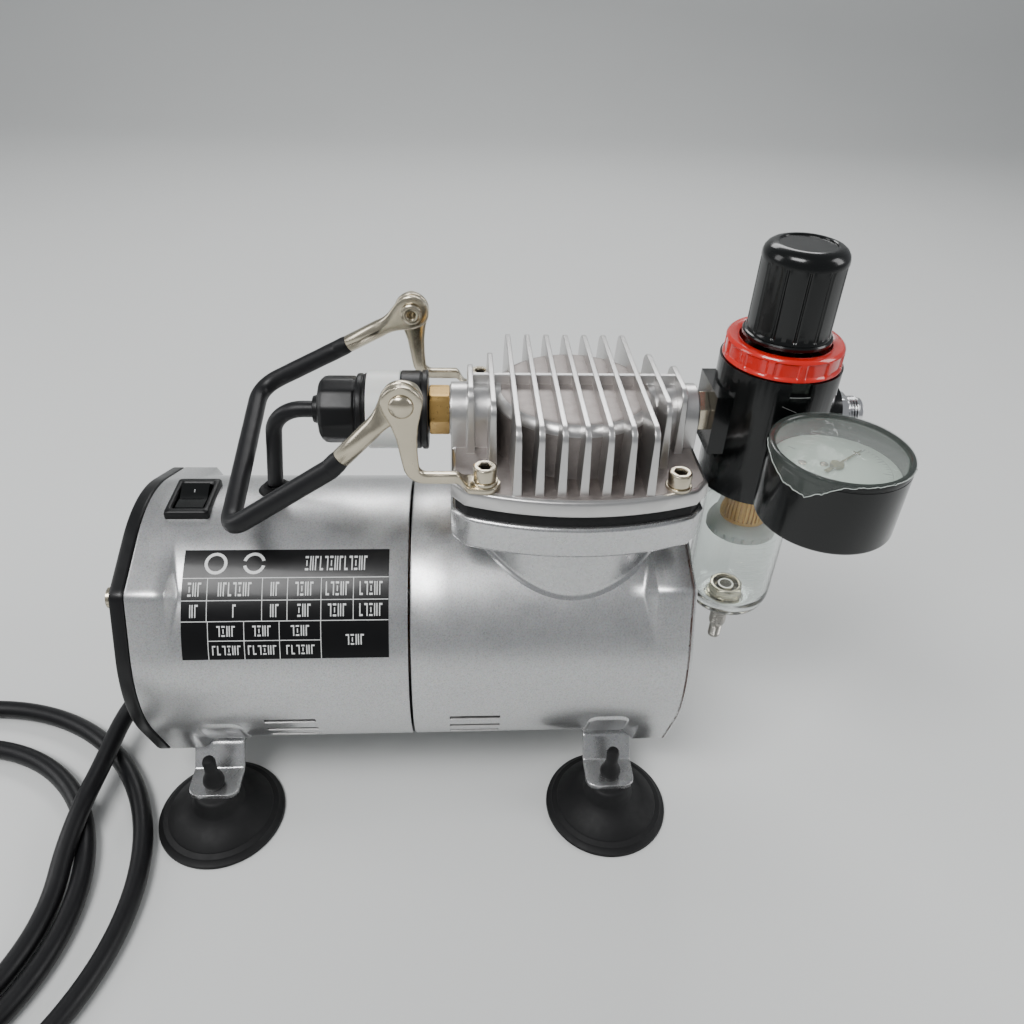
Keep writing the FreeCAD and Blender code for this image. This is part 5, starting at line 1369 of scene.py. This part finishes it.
def add_gauge():
    low, high = span("gauge_case")
    bottom, top, r = low.z, high.z, high.x - GAUGE.x
    case = Shape()
    rings = [(bottom + 1.2 - 1.2 * math.cos(a), r - 1.2 + 1.2 * math.sin(a))
             for a in (math.pi / 2 * k / 6 for k in range(7))]
    rings += [(top - 2.6, r), (top - 2.4, r - 0.12), (top - 2.2, r - 0.12), (top - 2.0, r), (top - 0.7, r),
              (top - 0.2, r - 0.2), (top, r - 0.6), (top, r - 1.2), (top - 0.3, r - 1.5),
              (bottom + 3, r - 1.7), (bottom + 3, 0.0)]
    case.turned([(bottom, 0.0)] + rings, GAUGE, count=160)
    case.make("gauge_housing", M["gloss_black"], "black_plastic", sharp=30, replaces=["gauge_case"])

    dial = Shape()
    dial.turned([(DIAL_TOP - 0.8, DIAL_RADIUS - 0.1), (DIAL_TOP - 0.1, DIAL_RADIUS),
                 (DIAL_TOP, DIAL_RADIUS - 0.2),
                 (DIAL_TOP, 1.3), (DIAL_TOP - 0.8, 1.3)], GAUGE, count=128, loop=True)
    dial.make("dial_plate", M["dial_white"], "dial_white", replaces=["gauge_dial"])
    ink = Shape()
    for k in range(51):
        a = math.radians(37 - 265 * k / 50)
        long = 2.6 if k % 10 == 0 else (1.9 if k % 5 == 0 else 1.2)
        wide = 0.22 if k % 5 == 0 else 0.13
        out, across = Vector((math.cos(a), math.sin(a), 0)), Vector((-math.sin(a), math.cos(a), 0))
        base = GAUGE + Z * (DIAL_TOP + 0.03)
        ink.add([base + out * (15.8 - long) - across * wide, base + out * 15.8 - across * wide,
                 base + out * 15.8 + across * wide, base + out * (15.8 - long) + across * wide],
                [[0, 1, 2, 3]])
    for k in range(66):
        a, b = math.radians(48 - 265 * k / 66), math.radians(48 - 265 * (k + 1) / 66)
        ink.add([GAUGE + Vector((q * math.cos(t), q * math.sin(t), DIAL_TOP + 0.02))
                 for t, q in ((a, 15.95), (b, 15.95), (b, 15.8), (a, 15.8))], [[0, 1, 2, 3]])
    ink.make("dial_scale", M["dial_ink"], "dial_white")
    studs = Shape()
    for dx, dy in ((-9.3, 2.4), (-3.1, 1.5)):
        studs.turned([(DIAL_TOP - 0.1, 1.25), (DIAL_TOP + 0.25, 1.2), (DIAL_TOP + 0.5, 0.8),
                      (DIAL_TOP + 0.55, 0)],
                     GAUGE + Vector((dx, dy, 0)), count=32)
    studs.make("dial_studs", M["nickel"], "nickel", sharp=50)

    zero = math.radians(37)
    out, across = Vector((math.cos(zero), math.sin(zero), 0)), Vector((-math.sin(zero), math.cos(zero), 0))
    level = DIAL_TOP + 0.6
    base = GAUGE + Z * level

    def blade(points, thick=0.3):
        lowest = [base + out * a + across * b for a, b in points]
        highest = [p + Z * thick for p in lowest]
        n = len(points)
        needle.add(lowest + highest, [list(range(n))[::-1], list(range(n, 2 * n))] +
                   [[k, (k + 1) % n, n + (k + 1) % n, n + k] for k in range(n)])

    needle = Shape()
    blade([(-5.5, -0.75), (-1.0, -0.5), (13.2, -0.16), (13.5, 0), (13.2, 0.16), (-1.0, 0.5), (-5.5, 0.75)])
    blade([(10.6, -1.1), (11.0, -1.15), (11.1, 1.1), (10.7, 1.15)])
    needle.turned([(level - 0.2, 2.1), (level + 0.6, 2.1), (level + 0.85, 1.8), (level + 0.9, 0)], GAUGE,
                  count=40)
    needle.turned([(level - 2.3, 1.0), (level, 1.0)], GAUGE, count=24)
    needle.make("needle_blade", M["needle_brass_green_reflection"], "brass", body="needle", bevel=0.04, sharp=30,
                replaces=["gauge_needle"])

    lens = Shape()
    lens_low, lens_high = (v.z for v in span("gauge_lens"))
    lens.turned([(lens_low, DIAL_RADIUS - 0.1), (lens_high - 0.2, DIAL_RADIUS),
                 (lens_high, DIAL_RADIUS - 0.3)],
                GAUGE, count=96)
    lens.make("gauge_glass", M["lens"], "clear_plastic", replaces=["gauge_lens"])


def film_hang(degrees):
    """How far the torn film hangs down the side at an angle, in millimetres."""
    rough = (noise.noise(Vector((degrees * 0.11, 3.1, 0))) * 1.3
             + noise.noise(Vector((degrees * 0.5, 0, 0))) * 0.6)
    marks = [(0, 1.6), (165, 1.4), (180, 2.6), (196, 5.0), (212, 6.6), (226, 7.2), (238, 4.2), (250, 1.4),
             (264, 0.3), (322, 0.2), (335, 2.2), (348, 3.4), (360, 1.6)]
    for (a, low), (b, high) in zip(marks, marks[1:]):
        if degrees <= b:
            return max(0.15, low + (high - low) * (degrees - a) / (b - a) + rough * 0.8)
    return marks[-1][1]


def add_film():
    """Protective film stretched over the gauge's face, wrinkled, and torn away at the front."""
    top, r = span("gauge_case")[1].z, 20.35
    count, rows = 240, []
    points, faces = [], []

    def ripple(a, q):
        where = Vector((q * math.cos(a), q * math.sin(a), 0))
        return (0.16 * noise.noise(where * 0.35) + 0.10 * noise.noise(where * 0.9 + X * 7)
                + 0.05 * abs(noise.noise(Vector((where.x * 2.6, where.y * 0.7, 2)))))

    radii = [1.5 + (r - 1.9) * (k / 16) for k in range(17)]
    for q in radii:
        rows.append([(q, top + 0.22 + ripple(TAU * k / count, q) * min(1.0, (r - q) / 2 + 0.3), 0.0)
                     for k in range(count)])
    rows.append([(r - 0.05, top + 0.12, 0.0)] * count)
    for share in (0.12, 0.3, 0.5, 0.75, 1.0):
        row = []
        for k in range(count):
            degrees = 360 * k / count
            hang = film_hang(degrees)
            a = TAU * k / count
            puff = (0.16 + 0.30 * share * abs(noise.noise(Vector((degrees * 0.09, share * 3, 5))))
                    * min(1, hang / 3))
            row.append((r + puff, top - hang * share, 0.0))
        rows.append(row)
    for row in rows:
        for k, (q, z, _) in enumerate(row):
            a = TAU * k / count
            points.append(GAUGE + Vector((q * math.cos(a), q * math.sin(a), z)))
    for i in range(len(rows) - 1):
        faces += [[i * count + k, i * count + (k + 1) % count, (i + 1) * count + (k + 1) % count,
                   (i + 1) * count + k] for k in range(count)]
    faces.append(list(range(count)))
    Shape().add(points, faces).make("torn_film", M["film"], "clear_plastic", sharp=70)
    # the torn edge's curl, in a pale colour that paints its glints
    tear = Shape()
    last = (len(rows) - 1) * count
    edge = [points[last + k] for k in range(count + 1) if k < count] + [points[last]]
    part = edge[int(count * 160 / 360):int(count * 356 / 360)]
    tear.swept([p + Vector((0, 0, 0.05)) for p in part],
               lambda t: 0.10 + 0.07 * abs(noise.noise(Vector((t * 40, 0, 0)))), count=8)
    tear.make("torn_edge", M["film_edge"], "clear_plastic", sharp=70)


# ---------------------------------------------------------------- lead fittings


def add_boot():
    """The tapered strain relief, ribbed across, that the lead leaves by."""
    start, end = Vector((-94.8, 16, 26)), Vector(LEAD_START[0]) / MM
    way = (end - start).normalized()
    long = (end - start).length
    rings = [(0.4, 5.2), (0.4, 6.9), (1.0, 7.3), (2.6, 7.2), (3.2, 6.2)]
    for k in range(6):
        z = 3.8 + k * (long - 5.0) / 6
        size = 5.9 - 1.7 * (z / long)
        rings += [(z, size), (z + 0.4, size - 0.75), (z + 1.0, size - 0.8), (z + 1.35, size - 0.1)]
    rings += [(long - 0.6, 4.3), (long + 0.5, 4.1), (long + 0.8, 3.8), (long + 0.8, 3.45), (0.4, 3.3)]
    boot = Shape()
    boot.turned(rings, start, axis=way, count=56, loop=True)
    return boot.make("lead_boot", M["black_rubber"], "black_rubber", bevel=0.12, replaces=["cord_boot"])


def add_plug():
    """A moulded two-pin plug with a ribbed boot."""
    px, _, _ = Vector(LEAD_END[-1]) / MM
    base = Vector((px, -5, 18.4))
    plug = Shape()
    rings = [(0.0, 3.6), (0.0, 4.4)]
    for k in range(4):
        z = 1.5 + k * 3.6
        size = 4.9 + 0.5 * k
        rings += [(z, size), (z + 1.2, size + 0.2), (z + 1.6, size - 0.7), (z + 2.6, size - 0.6)]
    rings += [(16.5, 7.2), (18.0, 9.0), (21.0, 11.4), (25.0, 14.6), (28.0, 17.0), (30.0, 17.6),
              (45.4, 17.7), (46.2, 17.2), (46.4, 16.4)]
    plug.turned(rings, base, axis=Y, count=96)
    made = plug.make("plug_body", M["black_plastic"], "black_plastic", bevel=0.2, sharp=35,
                     replaces=["mains_plug"])
    pins = Shape()
    for side in (-1, 1):
        pins.turned([(45.5, 2.4), (62.6, 2.4), (64.0, 1.9), (64.8, 1.1), (65.0, 0)],
                    base + X * side * 9.5, axis=Y, count=32)
    return [made, pins.make("plug_pins", M["nickel"], "nickel", bevel=0.1)]


# ---------------------------------------------------------------- feet


def add_feet():
    """Cups with their rings, and nipples pulled up through the toes."""
    legs = Shape()
    for sx in (-73.0, 73.0):
        for side in (-1, 1):
            path = rounded([(0, side * 53.2, 16.9), (0, side * 40.7, 16.9), (0, side * 33.7, 25.6),
                            (0, side * 28.1, 21.3)], 2.2, 6)
            dense = [path[0].lerp(path[1], k / 16) for k in range(16)] + path[1:]
            sections = []
            for i, p in enumerate(dense):
                way = (dense[min(i + 1, len(dense) - 1)] - dense[max(i - 1, 0)]).normalized()
                short = max(0.0, 4.0 - abs(53.2 - abs(p.y)) - 0.02) if p.z < 17.5 else 0.0
                half = 9.0 - 4.0 + math.sqrt(max(0.0, 16.0 - short ** 2))
                sections.append((p + X * sx, X * half, way.cross(X) * 1.1, 14))
            legs.loft(sections, count=72)
    legs.make("legs", M["smooth_silver"], "casing_silver", sharp=40, replaces=["foot_brackets"])
    for word, sx in (("left", -73.0), ("right", 73.0)):
        cups = Shape()
        for side in (-1, 1):
            cups.turned([
                (5.5, 0.0), (4.6, 10.0), (2.2, 17.4), (0.05, 20.8), (0.05, 22.4), (0.5, 23.0),
                (1.5, 22.8), (2.4, 21.2), (3.0, 20.9), (3.7, 19.0), (4.3, 18.7), (7.0, 13.6),
                (9.4, 9.6), (10.2, 9.3), (12.4, 8.3), (14.6, 8.0), (15.5, 7.4), (15.75, 6.6),
                (15.75, 3.0), (18.0, 3.0), (18.9, 3.5), (20.6, 3.85), (22.4, 3.5), (24.0, 2.6),
                (27.0, 2.2), (31.0, 2.35), (32.3, 1.9), (33.0, 0.0)],
                (sx, side * 48.4, 0), count=96)
        cups.make(f"cups_{word}", M["black_rubber"], "black_rubber", sharp=40,
                  replaces=[f"suction_cups_{word}"])


# ---------------------------------------------------------------- dressing the CAD nodes and the studio


def dress():
    """Gives each CAD node that still shows its finish and rounded edges."""
    finishes = {
        "cap_screws": "nickel", "motor_shaft": "machined_steel", "rotor": "lamination",
        "stator_core": "lamination", "stator_windings": "winding_copper", "bearings": "machined_steel",
        "bearing_bulkhead": "cast_aluminium", "cooling_fan": "black_plastic", "crank_disc": "machined_steel",
        "piston_rod": "cast_aluminium", "piston_seal": "white_plastic", "cylinder_liner": "machined_steel",
        "valve_plate": "black_rubber",
        "foot_screws": "nickel", "switch_cable": "cord_black", "regulator_body": "gloss_black",
        "inlet_nipple": "nickel", "adjusting_spindle": "machined_steel", "gauge_stem": "brass",
    }
    for node, finish in finishes.items():
        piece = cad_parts[node]
        piece.data.materials.clear()
        piece.data.materials.append(M[finish])
    soften(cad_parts["regulator_body"], 0.5, weld=True)
    soften(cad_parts["inlet_nipple"], 0.3, weld=True)
    soften(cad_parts["valve_plate"], 0.25, weld=True)


def add_floor():
    """A pale sheet that rises behind the object."""
    half, back = 1.6, 1.1
    outline = [(-1.2, 0.0), (back, 0.0)]
    outline += [(back + 0.5 * math.sin(a), 0.5 - 0.5 * math.cos(a))
                for a in (math.pi / 2 * k / 12 for k in range(1, 13))]
    outline.append((back + 0.5, 1.8))
    points = [(x, y, z) for y, z in outline for x in (-half, half)]
    faces = [[2 * i, 2 * i + 1, 2 * i + 3, 2 * i + 2] for i in range(len(outline) - 1)]
    mesh = bpy.data.meshes.new("floor")
    mesh.from_pydata(points, [], faces)
    for face in mesh.polygons:
        face.use_smooth = True
    mesh.materials.append(surface("pale_floor", (0.72, 0.73, 0.72), 0.6, tint=0.02, patch=6, grain=500,
                                  bump=0.03))
    floor = bpy.data.objects.new("floor", mesh)
    bpy.context.scene.collection.objects.link(floor)


def add_lights():
    """A big soft light above and in front, two at the sides, and one behind for the edges."""
    target = Vector((0, 0, 0.08))
    lights = (
        ("key", (-0.40, -0.50, 1.0), 0.55, 0.35, 10.0),
        ("right", (0.95, -0.15, 0.6), 0.35, 0.6, 3.5),
        ("left", (-0.95, 0.1, 0.5), 0.35, 0.6, 2.5),
        ("back", (0.1, 0.85, 0.85), 0.9, 0.3, 6.0),
    )
    for name, place, wide, tall, watts in lights:
        data = bpy.data.lights.new(name, "AREA")
        data.shape, data.size, data.size_y, data.energy = "RECTANGLE", wide, tall, watts
        light = bpy.data.objects.new(name, data)
        bpy.context.scene.collection.objects.link(light)
        light.location = place
        light.rotation_euler = (target - Vector(place)).to_track_quat("-Z", "Y").to_euler()
    world = bpy.data.worlds.new("studio")
    world.use_nodes = True
    world.node_tree.nodes["Background"].inputs["Color"].default_value = (0.93, 0.96, 1.0, 1)
    world.node_tree.nodes["Background"].inputs["Strength"].default_value = 0.30
    bpy.context.scene.world = world


M = make_materials()
add_camera()
lead = add_cord(M["cord_black"])
fittings = [add_boot(), *add_plug()]

add_casing()
add_vent_lips()
add_foot_pads()
add_pump_neck()
add_end_caps()
add_rating_plate()
add_switch()
add_grommet()
add_head()
add_head_screws()
add_pressure_switch()
add_handle()
add_grip()
add_knob()
add_lock_ring()
add_filter()
add_outlet()
add_regulator_details()
add_gauge()
add_film()
add_feet()
dress()
add_floor()
add_lights()
